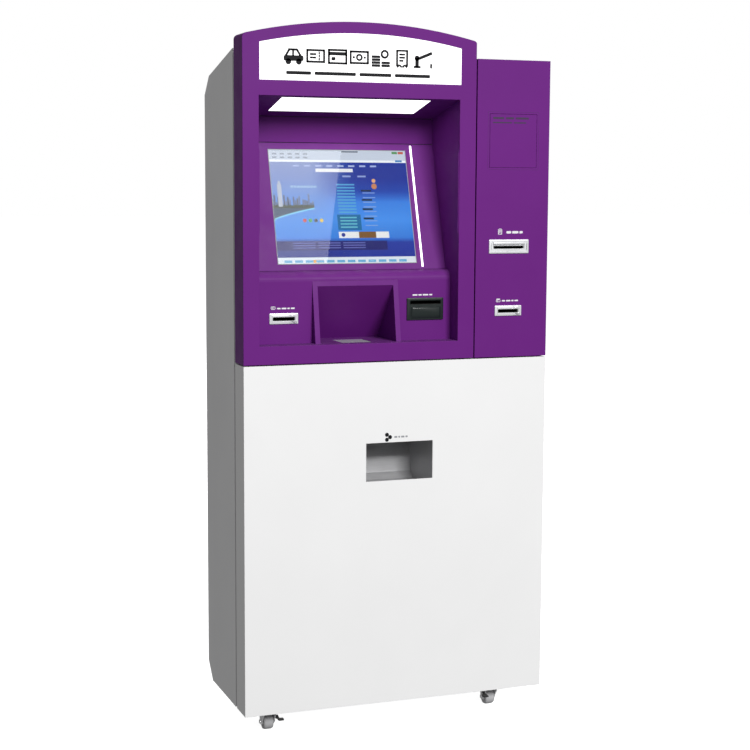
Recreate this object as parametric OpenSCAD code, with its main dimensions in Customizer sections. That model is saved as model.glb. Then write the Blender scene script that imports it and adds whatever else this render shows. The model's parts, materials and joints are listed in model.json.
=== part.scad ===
// Parking pay station: steel cabinet on castors with three front doors.
// Modules draw in the cabinet's own corner frame, and at_cabinet() moves that
// to the row frame: origin on the floor below the middle, front facing -Y.

/* [Cabinet] */
// Overall width
cab_w = 800; // [790:1:810]
// Depth from door face to rear panel
cab_d = 361; // [361:1:370]
// Height of the column door's top above the base
column_h = 1611; // [1605:1:1615]
// Top of the service door
lower_h = 868; // [866:1:870]
// Gap between two doors
door_gap = 3; // [2:0.5:4]
// Sheet thickness
skin = 2; // [1.5:0.5:2]

/* [Head] */
// Width of the customer head
head_w = 600; // [598:1:602]
// Height of the head's corners above the base
head_h = 1652; // [1650:1:1654]
// Rise of the arched top
arch_rise = 36; // [30:1:40]
// Corner rounding
corner_r = 12; // [8:1:14]

/* [Customer bay] */
// Left wall of the bay
bay_x0 = 40; // [38:1:42]
// Right wall of the bay
bay_x1 = 555; // [553:1:556]
// Sill height
sill_z = 914; // [912:1:916]
// Front edge of the ceiling
ceiling_z = 1510; // [1508:1:1512]
// Depth of the console face
console_y = 51; // [50:1:52]
// Depth of the bay's back
back_y = 180; // [178:1:181]

/* [Screen] */
// Visible width, five to four
screen_w = 366; // [360:1:368]
// Visible height along the slope
screen_h = 296; // [290:1:298]
// Left edge of the visible area
screen_x = 112; // [108:1:116]

/* [Coin cup] */
// Left edge
cup_x0 = 313; // [310:1:316]
// Right edge
cup_x1 = 490; // [486:1:492]
// Lower edge
cup_z0 = 569; // [567:1:571]
// Upper edge
cup_z1 = 665; // [663:1:667]

/* [Castors] */
// Wheel radius
wheel_r = 20; // [18:1:20]
// Wheel width
wheel_w = 26; // [24:1:26]
// Trail of the swivel castors
trail = 10; // [8:1:12]

/* [Hidden] */
$fn = 48;
depth_y = 77;           // how far the doors' returns reach back
frame_y = 83;           // front of the frame plate
side_y = 88;            // front edge of the side panels
proud = 6;              // how far the column's bezels stand out
axle_z = -35;           // axle height below the base
foot_h = wheel_r - axle_z;
mid_y = (cab_d - proud) / 2;
head_x = head_w / 2;
head_x1 = head_w - door_gap / 2;
column_x0 = head_w + door_gap / 2;
door_z = lower_h + door_gap / 2;
arch_r = (head_x * head_x + arch_rise * arch_rise) / (2 * arch_rise);
arch_z = head_h + arch_rise - arch_r;
corner_z = arch_z + sqrt(pow(arch_r - corner_r, 2) - pow(head_x - corner_r, 2));
corner_sin = (head_x - corner_r) / (arch_r - corner_r);
sign_x0 = 42;
sign_z0 = 1546;
sign_drop = 27;         // head's arch to sign's arch
roof_z = 1624;          // front edge of the main roof
column_roof_z = 1605;
bend_y = 316;           // where the roof turns down
bend_z = 1572;
rear_z = 1526;
foot_y = 317;           // where the rear chamfer meets the base
foot_rise = 45;
hinge_x = 8;            // hinge axes, in from each side
hinge_y = 73;
pin_r = 3;
run = 0.06;             // radial clearance of a running fit
lower_hinges = [60, 790];
upper_hinges = [905, 1500];
ledge_y = 82;
ledge_z = 1090;
knee_z = 1404.5;
nose_r = 24;
lean = atan((back_y - ledge_y) / (knee_z - ledge_z));
slope = norm([back_y - ledge_y, knee_z - ledge_z]);
screen_v = slope - 17 - screen_h;
back_top = 1469;
ceiling_angle = atan((ceiling_z - back_top) / back_y);
lens_x = [102, 483];
lens_y = [15, 135];
pocket_x = [202, 400];
pocket_top = 1053;
pocket_front = 25;
pocket_back = 165;
rim = 13;
rim_top = pocket_top + 13;
window_x = [262, 340];
window_y = [35, 115];
card_w = 56;
card_h = 9;
ticket_at = [116, 975];     // slot centres, across and up
bank_at = [692, 986];
note_at = [487, 1008];
note_w = 82;
note_h = 9;
receipt_at = [691.5, 1147];
receipt_w = 83;
receipt_h = 8;
bezel_back = 4;
notice_x = [636, 765];
notice_z = [1345, 1478];
lock_y = 48;
lock_r = 9;
cam_l = 24;
cam_t = 3;
head_lock_z = 1630;
lower_lock_z = 430;
column_lock_x = 700;
castor_x = [73, 677];
castor_y = [50, 280];
plate_half = 25;
bolt_off = 19;
bearing_r = 17;
bearing_z = -9;
king_r = 5;
axle_r = 3;
cheek_in = wheel_w / 2 + 0.8;
cheek_t = 3;
cheek_out = cheek_in + cheek_t;
pedal_at = [-8, -21];       // pedal pivot from the swivel axis: back, up
fan_at = [600, 1390];
fan_y = [331, 357];
fan_r = 56;
roll_at = [110, 1232];      // paper roll centre: back, up
roll_r = 34;
spindle_r = 6;
anchor_x = [30, 770];
anchor_y = [100, 290];
anchor_r = 7;
gland_at = [740, 300];
gland_bore = 8;
screw_x = [14, 400, 786];
screw_z = [80, 560, 1040, 1505];

purple = [0.43, 0.18, 0.51];
white = [0.93, 0.93, 0.93];
grey = [0.72, 0.72, 0.73];
zinc = [0.62, 0.63, 0.65];
dark = [0.1, 0.11, 0.12];
silver = [0.82, 0.83, 0.85];
brass = [0.78, 0.62, 0.32];

// ---- shared helpers ----

module at_cabinet() translate([-cab_w / 2, -mid_y, foot_h]) children();

// A box from its low and high value along each axis
module box(x, y, z)
  translate([x[0], y[0], z[0]]) cube([x[1] - x[0], y[1] - y[0], z[1] - z[0]]);

// Extrudes a side profile (depth, height) across the width
module across(x) translate([x[0], 0, 0]) rotate([90, 0, 90]) linear_extrude(x[1] - x[0]) children();

// Extrudes a front outline (width, height) over a depth
module deep(y) translate([0, y[1], 0]) rotate([90, 0, 0]) linear_extrude(y[1] - y[0]) children();

module rod_x(x, at, r)
  translate([x[0], at[0], at[1]]) rotate([0, 90, 0]) cylinder(h = x[1] - x[0], r = r);
module rod_y(y, at, r)
  translate([at[0], y[1], at[1]]) rotate([90, 0, 0]) cylinder(h = y[1] - y[0], r = r);
module rod_z(z, at, r) translate([at[0], at[1], z[0]]) cylinder(h = z[1] - z[0], r = r);

// Copies its children to the other side of the cabinet
module other_side() translate([cab_w, 0, 0]) mirror([1, 0, 0]) children();

function grow(range, by) = [range[0] - by, range[1] + by];
function unit(v) = v / norm(v);
function side_of(v) = [-v[1], v[0]];
function normal_at(p, i) =
  let (a = i > 0 ? unit(side_of(p[i] - p[i - 1])) : unit(side_of(p[1] - p[0])),
       b = i < len(p) - 1 ? unit(side_of(p[i + 1] - p[i])) : a)
  (a + b) / (1 + a * b);

// A bent sheet seen from its edge: the line p, thickened by t to its left
function band(p, t) = concat(p, [for (i = [len(p) - 1:-1:0]) p[i] + t * normal_at(p, i)]);

function arc(centre, r, from, to, steps) =
  [for (i = [0:steps]) let (a = from + (to - from) * i / steps)
    centre + r * [cos(a), sin(a)]];

// ---- cabinet shell ----

// Outline of the arched head, drawn in from its outer edges by i
module head_outline(i, bottom) {
  intersection() {
    translate([head_x, arch_z]) circle(arch_r - i, $fn = 360);
    difference() {
      translate([i, bottom]) square([head_w - 2 * i, 900]);
      for (s = [0, 1])
        translate([s * head_w, 0]) mirror([s, 0]) corner_waste(i);
    }
  }
}

module corner_waste(i) {
  difference() {
    translate([-1, corner_z]) square([1 + corner_r - (corner_r - i) * corner_sin, 3 * corner_r]);
    translate([corner_r, corner_z]) circle(corner_r - i);
  }
}

module side_sheet(top)
  polygon([[side_y, 0], [foot_y, 0], [cab_d, foot_rise], [cab_d, rear_z],
    [bend_y, bend_z], [side_y, top]]);

module left_side_panel() color(grey) at_cabinet() across([0, skin]) side_sheet(roof_z);

module right_side_panel()
  color(grey) at_cabinet() across([cab_w - skin, cab_w]) side_sheet(column_roof_z);

module roof_panels() color(grey) at_cabinet() {
  across([skin + 0.2, head_w - skin])
    polygon(band([[frame_y + 3.5, roof_z], [bend_y, bend_z], [cab_d - 0.5, rear_z + 0.5]], -skin));
  across([head_w - skin, head_w])
    polygon([[frame_y + 3.5, column_roof_z - 12], [frame_y + 3.5, roof_z], [bend_y, bend_z],
      [bend_y, bend_z - 12]]);
  across([head_w + 0.2, cab_w - skin - 0.2])
    polygon(band([[frame_y + 3.5, column_roof_z], [bend_y, bend_z], [cab_d - 0.5, rear_z + 0.5]],
      -skin));
}

module rear_panel() color(grey) at_cabinet() difference() {
  across([skin + 0.2, cab_w - skin - 0.2])
    polygon(band([[foot_y, 0], [cab_d, foot_rise], [cab_d, rear_z - 1]], skin));
  for (x = screw_x)
    for (z = screw_z)
      rod_y([cab_d - 5, cab_d + 1], [x, z], 4.02);
  for (side = [0, 1])
    for (i = [0:7])
      box([110 + 340 * side, 350 + 340 * side], [cab_d - 5, cab_d + 1], [190 + 16 * i, 196 + 16 * i]);
  for (i = [0:7])
    box([545, 655], [cab_d - 5, cab_d + 1], [fan_at[1] - 55 + 14 * i, fan_at[1] - 49 + 14 * i]);
}

module base_pan() color(grey) at_cabinet() difference() {
  union() {
    box([3, cab_w - 3], [90, foot_y - 3], [0, 3]);
    box([16, cab_w - 16], [6, 90], [0, 3]);
    box([16, cab_w - 16], [6, 8], [0, 22]);
  }
  for (x = castor_x)
    for (y = castor_y)
      bolt_places(x, y) rod_z([-1, 4], [0, 0], 3.1);
  for (x = anchor_x)
    for (y = anchor_y)
      rod_z([-1, 4], [x, y], anchor_r);
  rod_z([-1, 4], gland_at, 12.02);
}

// ---- front frame, hinges and strikes ----

module frame_bracket(z) {
  difference() {
    union() {
      rod_z([z, z + 4], [hinge_x, hinge_y], 5.6);
      box([hinge_x, hinge_x + 14], [hinge_y - 5, hinge_y + 4.5], [z, z + 4]);
      box([hinge_x + 9, hinge_x + 14], [hinge_y, frame_y + 1], [z, z + 4]);
    }
    rod_z([z - 1, z + 5], [hinge_x, hinge_y], pin_r + 0.02);
  }
}

module door_lug(z) {
  difference() {
    box([skin - 0.5, hinge_x + 6], [hinge_y - 7, hinge_y + 3], [z + 4.4, z + 8.4]);
    rod_z([z + 4, z + 9], [hinge_x, hinge_y], pin_r + run);
  }
}

module hinge_pins() color(zinc) at_cabinet() {
  for (z = concat(lower_hinges, upper_hinges))
    rod_z([z - 2, z + 10], [hinge_x, hinge_y], pin_r);
  other_side()
    for (z = upper_hinges)
      rod_z([z - 2, z + 10], [hinge_x, hinge_y], pin_r);
}

// A hook that the lock's cam turns down behind, its web towards -X of the cam
module side_strike(x, z) {
  box([x - 10, x - 7], [lock_y - 12, frame_y + 1], [z - 28, z - 12]);
  box([x - 10, x + 5], [lock_y - 12, lock_y - 9], [z - 28, z - 12]);
}

// the frame is bolted up from flat rails, which meet at these joints
module rail_joints() {
  for (joint = [[0, 31, 40], [759, cab_w, 40], [0, 31, 824.7], [759, cab_w, 824.7], [0, 33, 900],
      [585, 609, 900], [767, cab_w, 900], [0, 33, 1544.7], [585, 609, 1544.7], [767, cab_w, 1559.7]])
    box([joint[0], joint[1]], [frame_y - 1, frame_y + 27], [joint[2], joint[2] + 0.3]);
  box([600, 600.3], [frame_y - 1, frame_y + 4], [1544, 1700]);
}

module front_frame() color(grey) at_cabinet() {
  difference() {
    union() {
      deep([frame_y, frame_y + 3]) difference() {
        union() {
          head_outline(2.5, lower_h);
          translate([2.5, 4]) square([cab_w - 5, lower_h]);
          translate([head_x, lower_h]) square([cab_w - head_x - 2.5, column_h - 2.5 - lower_h]);
        }
        translate([30, 40]) square([730, 785]);
        translate([32, 900]) square([554, 645]);
        translate([608, 900]) square([160, 660]);
      }
      box([skin + 0.5, skin + 2.5], [frame_y + 1, frame_y + 25], [4, roof_z - 12]);
      other_side() box([skin + 0.5, skin + 2.5], [frame_y + 1, frame_y + 25], [4, column_roof_z - 12]);
    }
    for (z = [24, 850])
      for (x = [200, 400, 600])
        rod_y([frame_y - 1, frame_y + 4], [x, z], 3);
    rail_joints();
  }
  for (z = concat(lower_hinges, upper_hinges))
    frame_bracket(z);
  other_side() {
    for (z = upper_hinges)
      frame_bracket(z);
  }
  side_strike(head_x1 - 22, head_lock_z);
  side_strike(cab_w - 22, lower_lock_z);
  box([column_lock_x - 28, column_lock_x - 12], [lock_y - 12, frame_y + 1],
    [column_h - 36, column_h - 33]);
  box([column_lock_x - 28, column_lock_x - 12], [lock_y - 12, lock_y - 9],
    [column_h - 36, column_h - 21]);
}

// ---- equipment inside the cabinet ----

module device_shelf() color(zinc) at_cabinet() {
  difference() {
    box([240, 560], [190, 358], [700, 702]);
    for (x = [280, 520])
      for (y = [215, 335])
        rod_z([699, 703], [x, y], 3);
    box([361, 409], [189, 204], [699, 703]);
  }
  box([240, 242], [190, 358], [660, 700]);
  box([558, 560], [190, 358], [660, 700]);
}

module control_pc() color(dark) at_cabinet() {
  difference() {
    box([90, 330], [285, 358], [1000, 1300]);
    for (i = [0:5])
      box([110 + 34 * i, 134 + 34 * i], [284, 292], [1020, 1034]);
  }
  for (i = [0:14])
    box([100 + 16 * i, 103 + 16 * i], [268, 285.5], [1050, 1285]);
}

module power_supply() color(silver) at_cabinet() {
  difference() {
    box([495, 635], [200, 310], [3, 110]);
    for (i = [0:6])
      box([510 + 17 * i, 518 + 17 * i], [199, 204], [30, 95]);
  }
  box([510, 620], [205, 245], [110, 128]);
}

module coin_hopper() color(dark) at_cabinet() {
  difference() {
    union() {
      box([330, 440], [205, 330], [702, 740]);
      rod_z([740, 845], [385, 268], 54);
    }
    rod_z([728, 846], [385, 268], 50);
    box([368, 402], [204, 240], [712, 726]);
  }
}

// A trough from the hopper's exit down to the cup's hole, open to the front
module coin_chute() color(zinc) at_cabinet() {
  line = [[203, 709], [148, 664], [146, 652]];
  under = [for (i = [0:2]) line[i] + skin * normal_at(line, i)];
  difference() {
    across([364, 406]) polygon(concat(under, [[124, 654], [126, 676], [197, 733]]));
    across([364 + skin, 406 - skin])
      polygon([line[0] + 6 * unit(line[0] - line[1]), line[1], line[2] - [1, 6], [106, 646],
        [88, 724], [203, 769]]);
  }
}

module fan_frame() color(dark) at_cabinet() {
  difference() {
    box([fan_at[0] - 60, fan_at[0] + 60], fan_y, [fan_at[1] - 60, fan_at[1] + 60]);
    rod_y([fan_y[0] - 1, fan_y[1] + 1], fan_at, fan_r);
    for (x = [-52, 52])
      for (z = [-52, 52])
        rod_y([fan_y[0] - 1, fan_y[1] + 1], fan_at + [x, z], 2.2);
  }
  rod_y([fan_y[1] - 4, fan_y[1]], fan_at, 19);
  rod_y([fan_y[0] + 1, fan_y[1] - 4], fan_at, pin_r);
  for (a = [30, 150, 270])
    translate([fan_at[0], fan_y[1] - 2, fan_at[1]]) rotate([0, a, 0])
      translate([15, -2, -3]) cube([fan_r - 14.5, 3, 6]);
}

module fan_rotor() color([0.2, 0.21, 0.22]) at_cabinet() {
  difference() {
    union() {
      rod_y([fan_y[0] + 2, fan_y[1] - 5], fan_at, 18);
      for (i = [0:6])
        translate([fan_at[0], fan_y[0] + 12, fan_at[1]]) rotate([0, 360 / 7 * i, 0])
          rotate([38, 0, 0]) translate([15, -1, -11]) cube([37, 2, 22]);
    }
    rod_y([fan_y[0], fan_y[1]], fan_at, pin_r + run);
  }
}

module coin_box() color(silver) at_cabinet() {
  difference() {
    box([330, 470], [195, 305], [3.4, 250]);
    box([332, 468], [197, 303], [5.4, 251]);
  }
  for (x = [370, 426])
    box([x, x + 4], [191, 195.5], [180, 200]);
  box([370, 430], [187, 191], [180, 200]);
}

module cable_gland() color(dark) at_cabinet() difference() {
  union() {
    rod_z([-16, 14], gland_at, 12);
    translate([gland_at[0], gland_at[1], 3]) cylinder(h = 6, r = 17, $fn = 6);
    translate([gland_at[0], gland_at[1], -7]) cylinder(h = 7, r = 17, $fn = 6);
  }
  rod_z([-17, 15], gland_at, gland_bore);
}

// ---- castors ----

module bolt_places(x, y)
  for (dx = [-bolt_off, bolt_off])
    for (dy = [-bolt_off, bolt_off])
      translate([x + dx, y + dy, 0]) children();

module castor_plates() color(zinc) at_cabinet()
  for (x = castor_x)
    for (y = castor_y)
      difference() {
        union() {
          box([x - plate_half, x + plate_half], [y - plate_half, y + plate_half], [-3, 0]);
          rod_z([bearing_z, -2], [x, y], bearing_r);
          if (y == castor_y[0])
            rod_z([bearing_z - 4.5, bearing_z + 1], [x, y], king_r);
        }
        bolt_places(x, y) rod_z([-4, 1], [0, 0], 3.1);
      }

module castor_bolts() color(silver) at_cabinet()
  for (x = castor_x)
    for (y = castor_y)
      bolt_places(x, y) {
        rod_z([-7, 3.5], [0, 0], 3);
        translate([0, 0, 3]) cylinder(h = 4, r = 5.5, $fn = 6);
        translate([0, 0, -7]) cylinder(h = 4, r = 5.5, $fn = 6);
      }

// A fork about its swivel axis, its crown's top at z, the bore for a king pin if wanted
module fork(z, bore) {
  crown = [bearing_z - 3.4, z];
  difference() {
    union() {
      rod_z(crown, [0, 0], bearing_r);
      box([-cheek_out, cheek_out], [-8, 20], [crown[0], crown[0] + 3]);
      for (s = [-1, 1])
        across(s > 0 ? [cheek_in, cheek_out] : [-cheek_out, -cheek_in]) {
          polygon([[-14, crown[0] + 3], [-13, -16], [trail - 8, axle_z], [trail + 8, axle_z],
            [20, -18], [20, crown[0] + 3]]);
          translate([trail, axle_z]) circle(8);
        }
    }
    rod_x([-30, 30], [trail, axle_z], axle_r + 0.02);
    if (bore)
      rod_z([crown[0] - 1, z + 1], [0, 0], king_r + run);
  }
}

module axle() {
  rod_x([-cheek_out - 2, cheek_out + 2], [trail, axle_z], axle_r);
  for (x = [-cheek_out - 3, cheek_out])
    rod_x([x, x + 3], [trail, axle_z], 5);
}

module rear_castor_forks() color(zinc) at_cabinet()
  for (x = castor_x)
    translate([x, castor_y[1], 0]) {
      fork(bearing_z, false);
      axle();
    }

module swivel_fork(x, s) color(zinc) at_cabinet()
  translate([x, castor_y[0], 0]) {
    fork(bearing_z - 0.4, true);
    axle();
    rod_x(s > 0 ? [cheek_out - 1, cheek_out + 8] : [-cheek_out - 8, 1 - cheek_out], pedal_at, 2);
  }

module wheel(x, y) color([0.55, 0.55, 0.56]) at_cabinet()
  translate([x, y + trail, axle_z]) rotate([0, 90, 0])
    rotate_extrude($fn = 64) polygon([[axle_r + run, -wheel_w / 2], [wheel_r - 3, -wheel_w / 2],
      [wheel_r, 3 - wheel_w / 2], [wheel_r, wheel_w / 2 - 3], [wheel_r - 3, wheel_w / 2],
      [axle_r + run, wheel_w / 2]]);

module brake_pedal(x, s) color(dark) at_cabinet()
  translate([x, castor_y[0], 0]) mirror([s < 0 ? 1 : 0, 0, 0]) difference() {
    union() {
      rod_x([cheek_out + 0.4, cheek_out + 6], pedal_at, 5);
      box([cheek_out + 0.4, cheek_out + 6], [pedal_at[0] - 22, pedal_at[0]],
        [pedal_at[1] - 2, pedal_at[1] + 2]);
      box([cheek_out + 0.4, cheek_out + 14], [pedal_at[0] - 28, pedal_at[0] - 16],
        [pedal_at[1] - 2, pedal_at[1] + 2]);
    }
    rod_x([cheek_out, cheek_out + 7], pedal_at, 2 + run);
  }

module left_castor_fork() swivel_fork(castor_x[0], 1);
module right_castor_fork() swivel_fork(castor_x[1], -1);
module front_left_wheel() wheel(castor_x[0], castor_y[0]);
module front_right_wheel() wheel(castor_x[1], castor_y[0]);
module rear_left_wheel() wheel(castor_x[0], castor_y[1]);
module rear_right_wheel() wheel(castor_x[1], castor_y[1]);
module left_brake_pedal() brake_pedal(castor_x[0], 1);
module right_brake_pedal() brake_pedal(castor_x[1], -1);

module panel_screws() color(silver) at_cabinet()
  for (x = screw_x)
    for (z = screw_z) {
      rod_y([cab_d - skin, cab_d], [x, z], 3.98);
      rod_y([cab_d - 12, cab_d - skin], [x, z], 2.5);
    }

// ---- head door ----

module sign_outline(by)
  intersection() {
    translate([head_x, arch_z]) circle(arch_r - sign_drop + by, $fn = 360);
    translate([sign_x0 - by, sign_z0 - by])
      square([head_w - 2 * sign_x0 + 2 * by, 200]);
  }

module head_fascia() color(purple) at_cabinet() {
  difference() {
    union() {
      deep([0, skin]) head_limits(0);
      deep([0, depth_y]) difference() {
        head_limits(0);
        head_limits(skin);
      }
      rod_x([head_x1 - 13, head_x1 - 1], [lock_y, head_lock_z], lock_r + 3);
    }
    deep([-1, skin + 1]) sign_outline(0);
    box([bay_x0, bay_x1], [-1, skin + 1], [sill_z, ceiling_z]);
    rod_x([head_x1 - 14, head_x1 + 1], [lock_y, head_lock_z], lock_r + run);
  }
  for (z = upper_hinges)
    door_lug(z);
}

module head_limits(i)
  intersection() {
    head_outline(i, door_z + i);
    translate([i, door_z + i]) square([head_x1 - 2 * i, 1000]);
  }

module sign_panel() color(white) at_cabinet() {
  deep([0.4, skin + 0.2]) sign_outline(-0.5);
  deep([skin + 0.2, skin + 3]) sign_outline(8);
}

module sign_backlight() color(white) at_cabinet() {
  difference() {
    box([60, 540], [40, 56], [1556, 1626]);
    box([62, 538], [39, 54], [1558, 1624]);
  }
  for (z = [1570, 1588, 1606])
    box([70, 530], [50, 54.5], [z, z + 10]);
}

module on_ceiling() translate([0, 0, ceiling_z]) rotate([-ceiling_angle, 0, 0]) children();

module bay_ceiling() color(purple) at_cabinet() on_ceiling() difference() {
  box([bay_x0 + 0.2, bay_x1 - 0.2], [2.5, back_y / cos(ceiling_angle) - 1], [0, skin]);
  box(lens_x, lens_y, [-1, skin + 1]);
}

module downlight_lens() color([1, 1, 1]) at_cabinet() on_ceiling() {
  box(grow(lens_x, -0.3), grow(lens_y, -0.3), [-0.5, skin + 0.2]);
  box(grow(lens_x, 5), grow(lens_y, 5), [skin + 0.2, skin + 14]);
}

module bay_cheeks() color(purple) at_cabinet() {
  shape = [[skin + 0.3, sill_z - 2], [skin + 0.3, ceiling_z + 2], [back_y + 3, back_top + 2],
    [back_y + 3, knee_z - 1], [ledge_y + 4, ledge_z - 2], [ledge_y + 4, sill_z - 2]];
  step = [[skin + 0.3, 1383], [71, 1383], [skin + 0.3, 1183]];
  across([bay_x0 - skin, bay_x0]) polygon(shape);
  across([bay_x0 - 0.5, bay_x0 + 2]) polygon(step);
  across([bay_x1, bay_x1 + skin]) polygon(shape);
  across([bay_x1 - 2, bay_x1 + 0.5]) polygon(step);
}

module bay_back() color(purple) at_cabinet()
  box([bay_x0 + 0.2, bay_x1 - 0.2], [back_y, back_y + skin], [knee_z + 1, back_top - 1]);

// Local frame on the sloping screen panel: Y runs up the slope, Z out to the customer
module on_screen() translate([0, ledge_y, ledge_z]) rotate([90 - lean, 0, 0]) children();

module screen_panel() color(purple) at_cabinet() on_screen() difference() {
  box([bay_x0 + 0.2, bay_x1 - 0.2], [0.5, slope - 0.5], [-skin, 0]);
  box([screen_x, screen_x + screen_w], [screen_v, screen_v + screen_h], [-skin - 1, 1]);
}

module touch_glass() color([0.7, 0.8, 0.85, 0.4]) at_cabinet() on_screen()
  box([screen_x + 0.3, screen_x + screen_w - 0.3],
    [screen_v + 0.3, screen_v + screen_h - 0.3], [-3.4, -0.6]);

module screen_module() color(dark) at_cabinet() on_screen() {
  box([screen_x - 14, screen_x + screen_w + 14],
    [screen_v - 12, screen_v + screen_h + 12], [-36, -4.2]);
  box([screen_x + 40, screen_x + screen_w - 40],
    [screen_v + 40, screen_v + screen_h - 60], [-50, -35]);
}

module screen_trim() color([1, 1, 1]) at_cabinet() on_screen()
  box([490, 494.5], [slope - 323, slope - 5], [0, 2]);

module console_panel() color(purple) at_cabinet() {
  nose = arc([console_y + nose_r, ledge_z - nose_r], nose_r, 180, 90, 8);
  line = concat([[console_y, sill_z - 2]], nose, [[ledge_y, ledge_z]]);
  difference() {
    across([bay_x0 + 0.2, bay_x1 - 0.2]) polygon(band(line, -skin));
    box(grow(pocket_x, rim + 0.1), [console_y - 1, console_y + 3], [sill_z - 3, rim_top + 0.2]);
    card_cutout(ticket_at, console_y);
    box([note_at[0] - 47, note_at[0] + 46], [console_y - 1, console_y + 3], [966.5, 1018.5]);
  }
  box([bay_x0 + 0.2, pocket_x[0] - rim - 0.2], [skin, console_y + 0.5], [sill_z - 2, sill_z]);
  box([pocket_x[1] + rim + 0.2, bay_x1 - 0.2], [skin, console_y + 0.5], [sill_z - 2, sill_z]);
}

// A frame leaning forward at its foot, with cheeks, a sloping back and a floor
module pocket_liner() color(purple) at_cabinet() {
  outer_x = grow(pocket_x, rim);
  low = [pocket_front, sill_z];
  high = [console_y, rim_top];
  lean_out = (high[0] - low[0]) / (high[1] - low[1]);
  edge = [low[0] + lean_out * (pocket_top - sill_z) + 1, pocket_top];
  heel = [pocket_back, sill_z];
  inset = side_of(unit(heel - edge));
  toe = low + [1, -1];
  difference() {
    across(outer_x) polygon(band([low, high], -skin));
    box(pocket_x, [0, console_y + 5], [sill_z - 1, pocket_top]);
  }
  for (x = [[pocket_x[0] - skin, pocket_x[0]], [pocket_x[1], pocket_x[1] + skin]])
    across(x) polygon([edge + inset, toe, heel + [1.4, -1]]);
  for (x = [[outer_x[0], outer_x[0] + skin], [outer_x[1] - skin, outer_x[1]]])
    across(x) polygon([toe, high + [0.5, -2], [console_y - 0.7, toe[1]]]);
  across(grow(pocket_x, skin)) polygon(band([edge, heel + unit(heel - edge)], skin));
  difference() {
    union() {
      box(outer_x, [skin + 0.2, console_y - 0.2], [sill_z - 2, sill_z]);
      box(grow(pocket_x, skin), [console_y - 1, pocket_back + 4], [sill_z - 2, sill_z]);
    }
    box(window_x, window_y, [sill_z - 3, sill_z + 1]);
  }
}

module pocket_window() color([0.75, 0.8, 0.77, 0.5]) at_cabinet() {
  box(grow(window_x, -0.3), grow(window_y, -0.3), [sill_z - 2.2, sill_z - 0.4]);
  box(grow(window_x, 8), grow(window_y, 8), [sill_z - 6, sill_z - 2.2]);
}

// ---- slots: card, note and receipt equipment ----

module card_cutout(at, y)
  box([at[0] - 33, at[0] + 32], [y - 1, y + 3], [at[1] - 10, at[1] + 12]);

module slot_hole(at, w, h, y) box([at[0] - w / 2, at[0] + w / 2], y, [at[1] - h / 2, at[1] + h / 2]);

module card_bezel(at, y) color(silver) at_cabinet() difference() {
  union() {
    box([at[0] - 37, at[0] + 36], [y - 3, y], [at[1] - 12, at[1] + 14]);
    box([at[0] - 32.5, at[0] + 31.5], [y - 0.5, y + bezel_back], [at[1] - 9.5, at[1] + 11.5]);
    box([at[0] + card_w / 2 - 14, at[0] + card_w / 2 + 4], [y - 5, y], [at[1] - 8, at[1] + 9]);
  }
  slot_hole(at, card_w, card_h, [y - 6, y + bezel_back + 1]);
}

module card_reader(at, y) color(dark) at_cabinet() difference() {
  box([at[0] - 35, at[0] + 35], [y + bezel_back + 0.5, y + 135], [at[1] - 22, at[1] + 24]);
  slot_hole(at, card_w, card_h, [y, y + 90]);
  box([at[0] - 20, at[0] + 20], [y + 30, y + 110], [at[1] + 14, at[1] + 25]);
}

module ticket_card_bezel() card_bezel(ticket_at, console_y);
module ticket_card_reader() card_reader(ticket_at, console_y);
module bank_card_bezel() card_bezel(bank_at, 0);
module bank_card_reader() card_reader(bank_at, 0);

module note_bezel() color(dark) at_cabinet() difference() {
  union() {
    box([note_at[0] - 50, note_at[0] + 48], [console_y - 4, console_y], [964.5, 1020]);
    box([note_at[0] - 46.5, note_at[0] + 45.5], [console_y - 0.5, console_y + bezel_back],
      [967, 1018]);
    across([note_at[0] - 45, note_at[0] + 44])
      polygon([[console_y - 4, 1003], [console_y - 9, 1000], [console_y - 9, 992],
        [console_y - 4, 974]]);
    across([note_at[0] - 48, note_at[0] + 47])
      polygon([[console_y - 4, 1020], [console_y - 8, 1018], [console_y - 8, 1014.5],
        [console_y - 4, 1013.5]]);
  }
  slot_hole(note_at, note_w, note_h, [console_y - 20, console_y + bezel_back + 1]);
}

module note_acceptor() color(dark) at_cabinet() difference() {
  union() {
    box([note_at[0] - 46, note_at[0] + 46], [console_y + bezel_back + 0.5, 178], [950, 1050]);
    box([note_at[0] - 30, note_at[0] + 30], [70, 160], [940, 950.5]);
  }
  slot_hole(note_at, note_w, note_h, [console_y, 140]);
}

module note_cassette() color([0.55, 0.12, 0.12]) at_cabinet() {
  difference() {
    box([note_at[0] - 42, note_at[0] + 42], [178.5, 268], [940, 1045]);
    box([note_at[0] - 39, note_at[0] + 39], [177, 265], [943, 1042]);
  }
  for (x = [-20, 16])
    box([note_at[0] + x, note_at[0] + x + 4], [267.5, 282], [990, 998]);
  box([note_at[0] - 20, note_at[0] + 20], [282, 286], [990, 998]);
}

module receipt_bezel() color(silver) at_cabinet() difference() {
  union() {
    box([637, 746], [-3, 0], [1131, 1166]);
    box([642, 741], [-0.5, bezel_back], [1135, 1162]);
    across([640, 743])
      polygon([[-3, 1160], [-proud, 1158], [-proud, 1153], [-3, 1151.5]]);
    across([650, 733])
      polygon([[-3, 1143], [-proud, 1142], [-proud, 1139], [-3, 1135]]);
  }
  slot_hole(receipt_at, receipt_w, receipt_h, [-20, bezel_back + 1]);
}

module receipt_printer() color(dark) at_cabinet() {
  difference() {
    box([648, 735], [bezel_back + 0.5, 150], [1100, 1185]);
    slot_hole(receipt_at, receipt_w, receipt_h, [bezel_back, 60]);
  }
  for (x = [650, 729])
    box([x, x + 4], [roll_at[0] - 14, roll_at[0] + 14], [1184.5, roll_at[1] + 12]);
  rod_x([652, 731], roll_at, spindle_r);
}

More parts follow.
